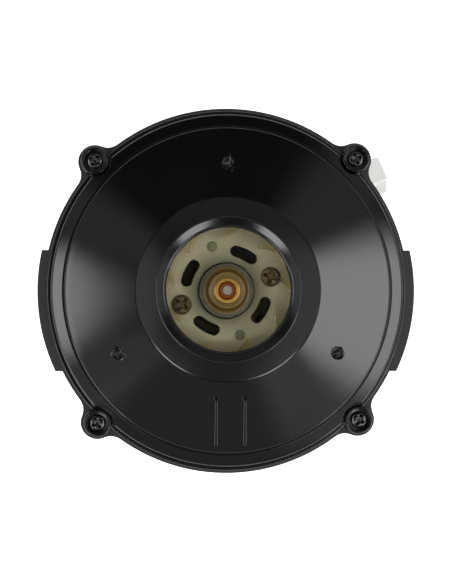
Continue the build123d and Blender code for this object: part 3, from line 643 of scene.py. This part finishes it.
def repeat(piece, slot, count, first, circle=0.0, twist=0.0, seed=1):
    """Copies of a piece, evenly spaced on a circle of a radius in millimetres."""
    mesh, name = piece.data, piece.name
    bpy.data.objects.remove(piece)
    return run_nodes(name, mesh, COPIES, {
        "Count": count, "Circle": circle * MM, "First angle": math.radians(first),
        "Twist": math.radians(twist), "Seed": seed, "Finish": FINISHES[slot]})


print("trees:", TURNING.name, "and", COPIES.name)

# %% [markdown]
# ## Cover
# The cover is one glossy moulding: a shallow cone, a raised rim, a flange, and
# four screw lugs that stand in round scallops cut out of the rim. Its section is
# turned with small radii at every corner, because those radii catch the light as
# the thin bright lines round the rim. The scallops, lugs, gate marks and the pits
# at the ribs' inner ends are then cut and added as Booleans, each tool being a
# turned or copied piece. The two ribs are separate pieces laid on the cone.

# %% Cover shell
COVER_BOTTOM = 71.0
FLANGE_TOP = 73.0
FLANGE_RADIUS = 55.7
COVER_RADIUS = 54.2
CONE_RADIUS = 28.2
CONE_TOP = 84.8
STEP_RADIUS = 50.0
STEP_TOP = 80.0
EAR_CIRCLE = 57.1
EAR_ANGLE = 45.6
LUG_RADIUS = 4.4
LUG_TOP = 76.5
SCALLOP_RADIUS = 5.25
EYE_RADIUS = 21.4
EYE_TOP = 85.3
UNDERSIDE = 83.4
STEP_FOOT = 78.8
LEDGE_RADIUS = 50.8
RIM_TOP = 78.0
BORE_RADIUS = 52.4
BORE_TOP = 76.2
POCKET_RADIUS = 48.2
POCKET_FLOOR = 77.0
POCKET_TOP = 78.4
BACKING_RADIUS = 6.65
BACKING_TOP = 79.4
BACKING_START = 48.5
CUT_TOP = 90.0
ENVELOPE_INSET = 0.02
ENVELOPE_LIFT = 0.05
COVER_STEPS = 288
CONE_ROWS = range(31, 49)
EAR_COUNT = 4


def cylinder_tool(name, radius, bottom, top, edge=0.0):
    """A plain turned slab, used to cut or to add."""
    return turn(name, [(0, bottom, 0), (radius, bottom, 0), (radius, top, edge), (0, top, 0)],
                "gloss_black", steps=96)


def ear_ring(piece):
    """Copies of a piece at the four ears."""
    return repeat(piece, "gloss_black", EAR_COUNT, EAR_ANGLE, EAR_CIRCLE)


def cone_height(radius):
    """Height of the cone's outer face at a radius."""
    share = (radius - CONE_RADIUS) / (STEP_RADIUS - CONE_RADIUS)
    return CONE_TOP + (STEP_TOP - CONE_TOP) * share


cone_rows = [(r, cone_height(r), 0) for r in CONE_ROWS]
cover = turn("cover", [
    (EYE_RADIUS, UNDERSIDE, 0), (EYE_RADIUS, EYE_TOP, 0), (CONE_RADIUS, CONE_TOP, 6.0),
    *cone_rows, (STEP_RADIUS, STEP_TOP, 0.45), (STEP_RADIUS, STEP_FOOT, 0.25),
    (LEDGE_RADIUS, STEP_FOOT, 0.6), (COVER_RADIUS, RIM_TOP, 0.7),
    (COVER_RADIUS, FLANGE_TOP, 0.3), (FLANGE_RADIUS, FLANGE_TOP, 0.45),
    (FLANGE_RADIUS, COVER_BOTTOM, 0.1), (BORE_RADIUS, COVER_BOTTOM, 0),
    (BORE_RADIUS, BORE_TOP, 0), (POCKET_RADIUS, POCKET_FLOOR, 0),
    (POCKET_RADIUS, POCKET_TOP, 0), (CONE_RADIUS, UNDERSIDE, 0),
], "gloss_black", COVER_STEPS)
ear = cylinder_tool("ear", LUG_RADIUS, COVER_BOTTOM, FLANGE_TOP, 0.3)
combine(cover, ear_ring(ear), "UNION")
backing = ear_ring(cylinder_tool(
    "backing", BACKING_RADIUS, COVER_BOTTOM + 2 * ENVELOPE_LIFT, BACKING_TOP))
envelope = turn("envelope", [
    (BACKING_START, COVER_BOTTOM + ENVELOPE_LIFT, 0),
    (COVER_RADIUS - ENVELOPE_INSET, COVER_BOTTOM + ENVELOPE_LIFT, 0),
    (COVER_RADIUS - ENVELOPE_INSET, RIM_TOP - ENVELOPE_INSET, 0.7),
    (LEDGE_RADIUS, STEP_FOOT - ENVELOPE_INSET, 0),
    (BACKING_START, STEP_FOOT - ENVELOPE_INSET, 0)], "gloss_black", COVER_STEPS)
combine(backing, envelope, "INTERSECT")
combine(cover, backing, "UNION")
scallops = ear_ring(cylinder_tool("scallops", SCALLOP_RADIUS, FLANGE_TOP, CUT_TOP))
combine(cover, scallops, "DIFFERENCE")
print("cover shell:", len(cover.data.polygons), "faces")

# %% Lugs, ribs and gate marks
COUNTERBORE_RADIUS = 3.4
COUNTERBORE_FLOOR = 74.5
LUG_ROOT = 0.5
LUG_INSET = 0.1
GATE_COUNT = 3
GATE_ANGLE = 90
GATE_CIRCLE = 38.8
GATE_RADIUS = 1.9
GATE_DEPTH = 0.6
GATE_DISH = 0.75
GATE_TOP = 88.0
STUB_SIDES = 11
STUB_ROOT = 1.0
STUB_ROUGHNESS = 0.22
RIB_PLACES = (-3.6, 5.2)
RIB_START = 33.8
RIB_END = 47.6
RIB_RISE = 0.6
RIB_SLOPE = 0.12
RIB_SINK = 0.8
DIMPLE_RADIUS = 0.6
DIMPLE_DEPTH = 1.2
DIMPLE_LEAD = 0.75
DIMPLE_OVERRUN = 1.0
# Corners of a gate stub, with heights against the cone's face
STUB_CORNERS = ((0, -1.2, 0), (0.95, -1.2, 0), (0.8, -0.2, 0.2), (0.3, -0.05, 0), (0, -0.3, 0))
# Rows of a rib: how far out, half its width, and its rise
RIB_ROWS = ((RIB_START - 0.4, 0.45, 0.0), (RIB_START, 0.42, RIB_RISE),
            (RIB_END, 0.56, RIB_RISE), (RIB_END + 0.25, 0.6, 0.0))
lug = turn("lug", [
    (0, FLANGE_TOP - LUG_ROOT, 0), (LUG_RADIUS - LUG_INSET, FLANGE_TOP - LUG_ROOT, 0),
    (LUG_RADIUS - LUG_INSET, LUG_TOP, 0.4), (COUNTERBORE_RADIUS, LUG_TOP, 0.25),
    (COUNTERBORE_RADIUS, COUNTERBORE_FLOOR, 0.2), (0, COUNTERBORE_FLOOR, 0)],
    "gloss_black", steps=72)
combine(cover, ear_ring(lug), "UNION")


def rib_mesh(name, x):
    """A low bar that widens outwards, with a flat top and a sloping inner end."""
    rows = []
    for r, half, rise in RIB_ROWS:
        base = cone_height(math.hypot(x, r))
        foot, top = base - RIB_SINK, base + rise
        rows.append([(x - half - RIB_SLOPE, -r, foot), (x - half, -r, top),
                     (x + half, -r, top), (x + half + RIB_SLOPE, -r, foot)])
    corners = [tuple(v * MM for v in p) for row in rows for p in row]
    faces = [(0, 1, 2, 3), (15, 14, 13, 12)]
    for k in range(0, 12, 4):
        faces += [(k + a, k + (a + 1) % 4, k + 4 + (a + 1) % 4, k + 4 + a) for a in range(4)]
    mesh = bpy.data.meshes.new(name)
    mesh.from_pydata(corners, [], faces)
    return mesh


slope = cone_height(GATE_CIRCLE)
pit = turn("pit", [
    (0, slope - GATE_DISH, 0), (GATE_RADIUS, slope - GATE_DEPTH, 0.4),
    (GATE_RADIUS, GATE_TOP, 0), (0, GATE_TOP, 0)], "gloss_black", steps=48)
combine(cover, repeat(pit, "gloss_black", GATE_COUNT, GATE_ANGLE, GATE_CIRCLE), "DIFFERENCE")
stub = turn("stub", [(r, slope + z, rounding) for r, z, rounding in STUB_CORNERS],
            "gloss_black", STUB_SIDES)
rng = random.Random(7)
for vertex in stub.data.vertices:
    if vertex.co.z > (slope - STUB_ROOT) * MM:
        jolt = Vector([rng.uniform(-1, 1) for _ in range(3)])
        vertex.co += jolt * STUB_ROUGHNESS * MM
combine(cover, repeat(stub, "gloss_black", GATE_COUNT, GATE_ANGLE, GATE_CIRCLE, twist=300.0,
                      seed=3), "UNION")
soften(cover, 0.14, angle=48.0)
rib_foot = cone_height(RIB_START)
for x in RIB_PLACES:
    dimple = cylinder_tool(
        "dimple", DIMPLE_RADIUS, rib_foot - DIMPLE_DEPTH, rib_foot + DIMPLE_OVERRUN)
    dimple.data.transform(Matrix.Translation((x * MM, (DIMPLE_LEAD - RIB_START) * MM, 0)))
    combine(cover, dimple, "DIFFERENCE")
settle_normals(cover)
finish_piece(cover, "motor_unit", "fan_cover", "gloss_black")
for k, x in enumerate(RIB_PLACES):
    rib = link_object(bpy.data.objects.new("rib_%d" % (k + 1), rib_mesh("rib", x)))
    tidy_mesh(rib.data)
    soften(rib, 0.3, segments=4)
    finish_piece(rib, "motor_unit", None, "gloss_black")

# %% [markdown]
# ## Bell mouth
# The inlet ring is a separate moulding pressed into the cover. Its mouth is
# turned with a wide round inner edge, where the air enters, and a land that dips
# gently inwards and mirrors the lamps as two short arcs.

# %% Bell mouth
THROAT = 19.0
LIP_RADIUS = 22.4
LIP_TOP = 88.0
LIP_DIP = 87.4
LIP_SEAT = 85.32
NECK_RADIUS = 21.3
NOZZLE_RADIUS = 20.0
NOZZLE_END = 82.1
bell = turn("bell_mouth", [
    (THROAT, NOZZLE_END, 0.2), (THROAT, LIP_DIP, 1.1), (LIP_RADIUS, LIP_TOP, 0.45),
    (LIP_RADIUS, LIP_SEAT, 0.15), (NECK_RADIUS, LIP_SEAT, 0), (NECK_RADIUS, UNDERSIDE, 0),
    (NOZZLE_RADIUS, UNDERSIDE, 0), (NOZZLE_RADIUS, NOZZLE_END, 0.2)],
    "gloss_black", steps=256)
settle_normals(bell)
finish_piece(bell, "motor_unit", "inlet_ring", "gloss_black")

# %% [markdown]
# ## Screws
# All screws here have a round head with a cross recess. The head is turned, and
# the recess is cut with a cross whose arms taper towards the bottom, like the tip
# of a screwdriver. The copies tree then places one mesh at each lug.

# %% Screws
MOTOR_FACE = 68.0
MOTOR_SCREW_CIRCLE = 14.5
MOTOR_SCREW_ANGLE = 17.5
RECESS_DEPTH_SHARE = 0.8
RECESS_REACH_SHARE = 0.8
ARM_WIDTH_SHARE = 0.42
MOUTH_SHARES = (1.1, 0.55)
FLOOR_SHARES = (0.45, 0.36)
ARM_TAPER = 0.8
WAIST = 0.4
CROSS_OVERRUN = 0.3


def cross_tool(name, top, depth, reach, width):
    """A tapering cross, as a screwdriver's tip presses it."""
    work = bmesh.new()
    for turned in (0, 1):
        rings = []
        for z, (size_share, half_share) in ((top + CROSS_OVERRUN, MOUTH_SHARES),
                                            (top - depth, FLOOR_SHARES)):
            size, half = reach * size_share, width * half_share
            tip, waist = half * ARM_TAPER, size * WAIST
            outline = [(-size, -tip), (-waist, -half), (waist, -half), (size, -tip),
                       (size, tip), (waist, half), (-waist, half), (-size, tip)]
            if turned:
                outline = [(-y, x) for x, y in outline]
            rings.append([work.verts.new((x * MM, y * MM, z * MM)) for x, y in outline])
        work.faces.new(rings[0])
        work.faces.new(rings[1][::-1])
        for k in range(8):
            a, b = k, (k + 1) % 8
            work.faces.new((rings[0][b], rings[0][a], rings[1][a], rings[1][b]))
    bmesh.ops.recalc_face_normals(work, faces=work.faces)
    mesh = bpy.data.meshes.new(name)
    work.to_mesh(mesh)
    work.free()
    return link_object(bpy.data.objects.new(name, mesh))


def screw(name, slot, head_radius, seat, head_height, shank_radius, shank_bottom, rounding):
    """One cross-head screw on the Z axis."""
    top = seat + head_height
    piece = turn(name, [
        (0, shank_bottom, 0), (shank_radius, shank_bottom, 0.2), (shank_radius, seat, 0),
        (head_radius, seat, 0.15), (head_radius, top, rounding), (0, top, 0)],
        slot, steps=64)
    tool = cross_tool("cross", top, head_height * RECESS_DEPTH_SHARE,
                      head_radius * RECESS_REACH_SHARE, head_radius * ARM_WIDTH_SHARE)
    modifier = piece.modifiers.new("recess", "BOOLEAN")
    modifier.operation = "DIFFERENCE"
    modifier.solver = "EXACT"
    modifier.use_self = True
    modifier.object = tool
    keep_modified(piece)
    bpy.data.objects.remove(tool)
    return soften(piece, 0.07)


cover_screw = screw(
    "cover_screws_black", "black_screw", head_radius=2.5, seat=COUNTERBORE_FLOOR,
    head_height=1.7, shank_radius=1.5, shank_bottom=62.6, rounding=0.85)
cover_screw = repeat(
    cover_screw, "black_screw", EAR_COUNT, EAR_ANGLE, EAR_CIRCLE, twist=90.0, seed=4)
finish_piece(cover_screw, "motor_unit", "cover_screws", "black_screw")
motor_screw = screw(
    "motor_screws_brown", "aged_screw", head_radius=3.05, seat=MOTOR_FACE,
    head_height=2.1, shank_radius=2.0, shank_bottom=65.4, rounding=1.1)
motor_screw = repeat(
    motor_screw, "aged_screw", 2, MOTOR_SCREW_ANGLE, MOTOR_SCREW_CIRCLE, twist=90.0, seed=11)
finish_piece(motor_screw, "motor_unit", "motor_screws", "aged_screw")

# %% [markdown]
# ## Impeller
# The impeller is moulded in clear plastic with an amber tint: a back disc with a
# flared hub, and nine blades that curve backwards. The disc is turned. A blade
# follows a rule, a spiral that crosses every circle at a slowly growing angle, so
# a third tree bends a narrow grid along that spiral, pulls it up to the shroud,
# and copies it round the shaft with the copies tree inside it. The hub is thicker
# plastic and looks a deeper amber, so its faces get a second finish.

# %% Impeller disc
DISC_TOP = 73.0
DISC_BOTTOM = 71.8
HUB_RADIUS = 5.9
HUB_TOP = 76.3
HUB_FLARE = 1.4
HUB_EDGE = 7.3
DISC_RADIUS = 46.0
BUSH_RADIUS = 4.1
GROOVE_RADIUS = 4.75
GROOVE_REACH = 0.3
GROOVE_DEPTH = 0.2
groove = [(GROOVE_RADIUS + GROOVE_REACH, HUB_TOP, 0.12),
          (GROOVE_RADIUS, HUB_TOP - GROOVE_DEPTH, 0.12),
          (GROOVE_RADIUS - GROOVE_REACH, HUB_TOP, 0.12)]
impeller = turn("impeller_disc", [
    (BUSH_RADIUS, DISC_BOTTOM, 0), (DISC_RADIUS, DISC_BOTTOM, 0.2),
    (DISC_RADIUS, DISC_TOP, 0.2), (HUB_RADIUS, DISC_TOP, HUB_FLARE), (HUB_RADIUS, HUB_TOP, 0.6),
    *groove, (BUSH_RADIUS, HUB_TOP, 0)], "clear_amber", steps=256)

# %% Blade tree
BLADE_STATIONS = 40
BLADE_COUNT = 9


def make_blade_group():
    """A blade along a spiral, under a ceiling that falls outwards, copied round."""
    names = ["Inner radius", "Outer radius", "Inner angle", "Outer angle", "Thickness",
             "Root height", "Eye height", "Eye radius", "Tip height", "First angle"]
    group, start, end = geometry_group("Blades", [
        *((name, "NodeSocketFloat", 0.0) for name in names),
        ("Count", "NodeSocketInt", BLADE_COUNT), ("Finish", "NodeSocketMaterial", None)])
    value = start.outputs
    grid = add(group, "GeometryNodeMeshGrid", {"Vertices X": BLADE_STATIONS, "Vertices Y": 2})
    index = out(add(group, "GeometryNodeInputIndex"))
    station = calc(group, "FLOOR", calc(group, "DIVIDE", index, 2))
    side = calc(group, "SUBTRACT", calc(group, "MODULO", index, 2), 0.5)
    share = calc(group, "DIVIDE", station, BLADE_STATIONS - 1)
    ratio = calc(group, "DIVIDE", value["Outer radius"], value["Inner radius"])
    growth = calc(group, "POWER", ratio, share)
    radius = calc(group, "MULTIPLY", value["Inner radius"], growth)
    change = calc(group, "SUBTRACT", value["Outer angle"], value["Inner angle"])
    angle = calc(group, "ADD", value["Inner angle"], calc(group, "MULTIPLY", change, share))
    mean = calc(group, "ADD", value["Inner angle"],
                calc(group, "MULTIPLY", calc(group, "MULTIPLY", change, share), 0.5))
    swept = calc(group, "MULTIPLY", -1, calc(group, "DIVIDE", calc(group, "LOGARITHM", growth,
                 math.e), calc(group, "TANGENT", mean)))
    lean = calc(group, "SUBTRACT", swept, calc(group, "SUBTRACT", math.pi / 2, angle))
    shift = calc(group, "MULTIPLY", side, value["Thickness"])
    x = calc(group, "SUBTRACT", calc(group, "MULTIPLY", radius, calc(group, "COSINE", swept)),
             calc(group, "MULTIPLY", shift, calc(group, "SINE", lean)))
    y = calc(group, "ADD", calc(group, "MULTIPLY", radius, calc(group, "SINE", swept)),
             calc(group, "MULTIPLY", shift, calc(group, "COSINE", lean)))
    flat = add(group, "ShaderNodeCombineXYZ", {"X": x, "Y": y, "Z": value["Root height"]})
    strip = out(add(group, "GeometryNodeSetPosition", {
        "Geometry": out(grid, "Mesh"), "Position": out(flat)}))
    raised = add(group, "GeometryNodeExtrudeMesh", {
        "Mesh": strip, "Offset Scale": MM, "Individual": False})
    place = add(group, "ShaderNodeSeparateXYZ", {0: out(add(group, "GeometryNodeInputPosition"))})
    fall = add(group, "ShaderNodeMapRange", {
        "Value": axis_distance(group, place), "From Min": value["Eye radius"],
        "From Max": value["Outer radius"], "To Min": value["Eye height"],
        "To Max": value["Tip height"]})
    top = add(group, "ShaderNodeCombineXYZ", {
        "X": place.outputs["X"], "Y": place.outputs["Y"], "Z": out(fall)})
    blade = add(group, "GeometryNodeSetPosition", {
        "Geometry": out(raised, "Mesh"), "Selection": out(raised, "Top"), "Position": out(top)})
    floor_faces = add(group, "GeometryNodeFlipFaces", {"Mesh": strip})
    closed = add(group, "GeometryNodeJoinGeometry")
    link(group, out(blade), closed.inputs[0])
    link(group, out(floor_faces), closed.inputs[0])
    merged = add(group, "GeometryNodeMergeByDistance", {
        "Geometry": out(closed), "Distance": MERGE})
    ring = add(group, "GeometryNodeGroup", node_tree=COPIES)
    link(group, out(merged), ring.inputs["Geometry"])
    for label in ("Count", "First angle", "Finish"):
        link(group, value[label], ring.inputs[label])
    close_group(group, start, end, out(ring))
    return group


BLADES = make_blade_group()
blades = run_nodes("impeller_blades", bpy.data.meshes.new("blade"), BLADES, {
    "Inner radius": 16.6 * MM, "Outer radius": 45.5 * MM, "Inner angle": math.radians(33),
    "Outer angle": math.radians(38), "Thickness": 1.0 * MM, "Root height": 72.6 * MM,
    "Eye height": 81.4 * MM, "Eye radius": 20.4 * MM, "Tip height": 77.0 * MM,
    "First angle": math.radians(14), "Count": BLADE_COUNT, "Finish": FINISHES["clear_amber"]})
combine(impeller, blades, "UNION")
soften(impeller, 0.12, angle=50.0)
finish_piece(impeller, "rotor", "impeller", "clear_amber")
impeller.data.materials.append(FINISHES["amber_hub"])
for face in impeller.data.polygons:
    if math.hypot(face.center.x, face.center.y) < HUB_EDGE * MM:
        face.material_index = 1

# %% [markdown]
# ## Hub
# In the middle of the hub sit a brass bush and a ring of orange thread-locking
# compound, round the ground tip of the shaft. They are tiny, but they are the
# warmest colours in the picture, so each is turned on its own.

# %% Hub
BUSH_BORE = 1.6
BUSH_BOTTOM = 71.3
BUSH_TOP = 76.5
NOSE_RADIUS = 1.59
bush = turn("brass_bush", [
    (BUSH_BORE, BUSH_BOTTOM, 0), (BUSH_RADIUS, BUSH_BOTTOM, 0.1), (BUSH_RADIUS, BUSH_TOP, 0.3),
    (2.9, BUSH_TOP, 0.15), (2.35, 75.95, 0.1), (BUSH_BORE, 75.8, 0)], "brass", steps=96)
finish_piece(bush, "rotor", "impeller_bush", "brass")
compound = turn("locking_compound", [
    (NOSE_RADIUS, 75.85, 0), (2.3, 75.97, 0), (2.45, 76.25, 0.1), (2.0, 76.62, 0.25),
    (NOSE_RADIUS, 76.9, 0.1)], "lock_red", steps=72)
finish_piece(compound, "rotor", "lock_ring", "lock_red")

# %% [markdown]
# ## Press marks
# Two round marks in the motor's plate show where a pin pressed it flat. Each
# gets a thin turned floor in darker zinc: partly the duller pressed metal, partly
# painted shade in the hollow.

# %% Press marks
MARK_RADIUS = 1.65
MARK_BOTTOM = 67.5
MARK_ANGLE = 107.5
# Painted shade: the dark zinc floors stand partly for the shade that falls in the pressed hollows
mark = turn("press_marks", [
    (0, MARK_BOTTOM, 0), (MARK_RADIUS, MARK_BOTTOM, 0), (MARK_RADIUS, 67.72, 0.1), (0, 67.62, 0)],
    "pressed_zinc_and_shade", steps=48)
mark = repeat(mark, "pressed_zinc_and_shade", 2, MARK_ANGLE, MOTOR_SCREW_CIRCLE)
finish_piece(mark, "motor_unit", None, "pressed_zinc_and_shade")

# %% [markdown]
# ## Moulded edges
# The connector and the rubber mount come straight from the frame with knife
# edges. No mould makes those: a copy of each gets small round edges, which then
# catch the light, and stands for the plain one.

# %% Moulded edges
def softened_copy(node, width):
    """A copy of a CAD piece with its sharp edges rounded."""
    plain = frame["nodes"][node]
    mesh = plain.data.copy()
    mesh.transform(plain.matrix_world)
    work = bmesh.new()
    work.from_mesh(mesh)
    bmesh.ops.remove_doubles(work, verts=work.verts, dist=MERGE)
    bmesh.ops.dissolve_limit(work, angle_limit=FLAT_ANGLE, verts=work.verts, edges=work.edges)
    bmesh.ops.recalc_face_normals(work, faces=work.faces)
    work.to_mesh(mesh)
    work.free()
    piece = link_object(bpy.data.objects.new(node + "_moulded", mesh))
    soften(piece, width)
    finish_piece(piece, "motor_unit", node, SLOT_OF[node])


softened_copy("connector_housing", 0.3)
softened_copy("rear_mount", 0.4)

# %% [markdown]
# ## Floor, world and lamps
# The photo is a cut-out on white: the floor and the sky look white to the
# camera, but stay dim in reflections, because the glossy cover shows black
# wherever no lamp is mirrored in it. Two long soft boxes, right and left, give
# the cover its two broad pale fans.

# %% Floor and world
FLOOR_SIZE = 4.0
FLOOR_COLOUR = (0.8, 0.8, 0.8)
FLOOR_ROUGHNESS = 0.9
FLOOR_GLOW = 0.85
SKY_BAND = (0.3, 0.62)
SKY_LEVELS = (0.9, 0.03)
DIFFUSE_LEVEL = 0.45


def add_floor():
    """A large pale floor that the camera sees as white."""
    mesh = bpy.data.meshes.new("floor")
    half = FLOOR_SIZE / 2
    corners = [(-half, -half, 0), (half, -half, 0), (half, half, 0), (-half, half, 0)]
    mesh.from_pydata(corners, [], [(0, 1, 2, 3)])
    floor = link_object(bpy.data.objects.new("floor", mesh))
    material = bpy.data.materials.new("floor")
    material.use_nodes = True
    tree = material.node_tree
    seen = add(tree, "ShaderNodeLightPath").outputs["Is Camera Ray"]
    fill(tree, tree.nodes["Principled BSDF"], {
        "Base Color": (*FLOOR_COLOUR, 1), "Roughness": FLOOR_ROUGHNESS,
        "Specular IOR Level": 0.0, "Emission Color": (1, 1, 1, 1),
        "Emission Strength": calc(tree, "MULTIPLY", seen, FLOOR_GLOW)})
    mesh.materials.append(material)


def set_world():
    """White sky for camera rays, dim for all others, and brighter near the horizon."""
    world = bpy.data.worlds.new("world")
    bpy.context.scene.world = world
    world.use_nodes = True
    tree = world.node_tree
    path = add(tree, "ShaderNodeLightPath")
    place = add(tree, "ShaderNodeTexCoord").outputs["Generated"]
    split = add(tree, "ShaderNodeSeparateXYZ", {0: place})
    glow = add(tree, "ShaderNodeMapRange", {
        "Value": split.outputs["Z"], "From Min": SKY_BAND[0], "From Max": SKY_BAND[1],
        "To Min": SKY_LEVELS[0], "To Max": SKY_LEVELS[1]}, interpolation_type="SMOOTHSTEP")
    seen = path.outputs["Is Camera Ray"]
    spread = calc(tree, "MULTIPLY", path.outputs["Is Diffuse Ray"], DIFFUSE_LEVEL)
    mirrored = calc(tree, "MULTIPLY", calc(tree, "SUBTRACT", 1.0, seen), out(glow))
    fill(tree, tree.nodes["Background"], {
        "Color": (1, 1, 1, 1),
        "Strength": calc(tree, "ADD", calc(tree, "ADD", seen, spread), mirrored)})


add_floor()
set_world()

# %% Lamps
SHORT_FADE = 0.04
LAMPS = [
    # name, direction angle, lean from vertical, distance, width, height, radiance, soft share
    ("right_box", -6.0, 34.5, 1.0, 0.66, 0.32, 5.0, 0.5),
    ("left_box", 182.5, 36.2, 1.0, 0.46, 0.32, 5.2, 0.5),
    ("right_glow", 40.0, 31.0, 1.0, 0.42, 0.36, 0.38, 0.8),
    ("left_glow", 148.0, 30.0, 1.0, 0.3, 0.36, 0.4, 0.8),
    ("lower_right_glow", 312.0, 33.0, 1.0, 0.4, 0.36, 0.75, 0.8),
    ("lower_left_glow", 215.0, 33.0, 1.0, 0.3, 0.36, 0.6, 0.8),
    ("near_panel", 262.0, 32.0, 1.0, 0.75, 0.4, 0.3, 0.1),
    ("right_high", 0.0, 15.0, 1.5, 0.5, 0.4, 0.8, 0.5),
    ("left_high", 180.0, 13.0, 1.5, 0.5, 0.34, 0.9, 0.5),
    ("top_strip", 85.0, 15.5, 1.5, 0.7, 0.42, 0.22, 0.3),
    ("near_strip", 270.0, 9.5, 1.5, 0.5, 0.2, 0.2, 0.3),
    ("right_arc", 310.0, 18.0, 1.0, 0.16, 0.13, 6.8, 0.2),
    ("left_arc", 234.5, 15.2, 1.0, 0.15, 0.12, 7.2, 0.2),
    ("low_right", -35.0, 68.0, 1.1, 0.7, 0.5, 4.0, 0.1),
    ("low_left", 215.0, 68.0, 1.1, 0.7, 0.5, 4.0, 0.1),
]


def soften_edges(data, soft):
    """Let a soft box fade towards its rim; soft is the fading share of its half."""
    data.use_nodes = True
    tree = data.node_tree
    place = add(tree, "ShaderNodeNewGeometry").outputs["Parametric"]
    split = add(tree, "ShaderNodeSeparateXYZ", {0: place})
    fades = []
    for axis, reach in (("X", soft / 2), ("Y", SHORT_FADE)):
        from_edge = calc(tree, "PINGPONG", split.outputs[axis], 0.5)
        fades.append(out(add(tree, "ShaderNodeMapRange", {
            "Value": from_edge, "From Max": reach}, interpolation_type="SMOOTHSTEP")))
    link(tree, calc(tree, "MULTIPLY", *fades), tree.nodes["Emission"].inputs["Strength"])


def add_lamp(name, azimuth, lean, distance, width, height, radiance, soft):
    """A rectangular soft box aimed at the cover."""
    data = bpy.data.lights.new(name, "AREA")
    data.shape = "RECTANGLE"
    data.size = width
    data.size_y = height
    data.energy = radiance * math.pi * width * height
    soften_edges(data, soft)
    lamp = link_object(bpy.data.objects.new(name, data))
    swing, tilt = math.radians(azimuth), math.radians(lean)
    away = Vector((math.sin(tilt) * math.cos(swing), math.sin(tilt) * math.sin(swing),
                   math.cos(tilt)))
    side = Vector((-math.sin(swing), math.cos(swing), 0))
    lamp.location = Vector((0, 0, COVER_TOP)) + away * distance
    lamp.rotation_euler = matrix_from_axes(side, away.cross(side), away).to_euler()


for lamp in LAMPS:
    add_lamp(*lamp)
print("lamps:", len(LAMPS))

# %% View settings
bpy.context.scene.view_settings.view_transform = "Standard"
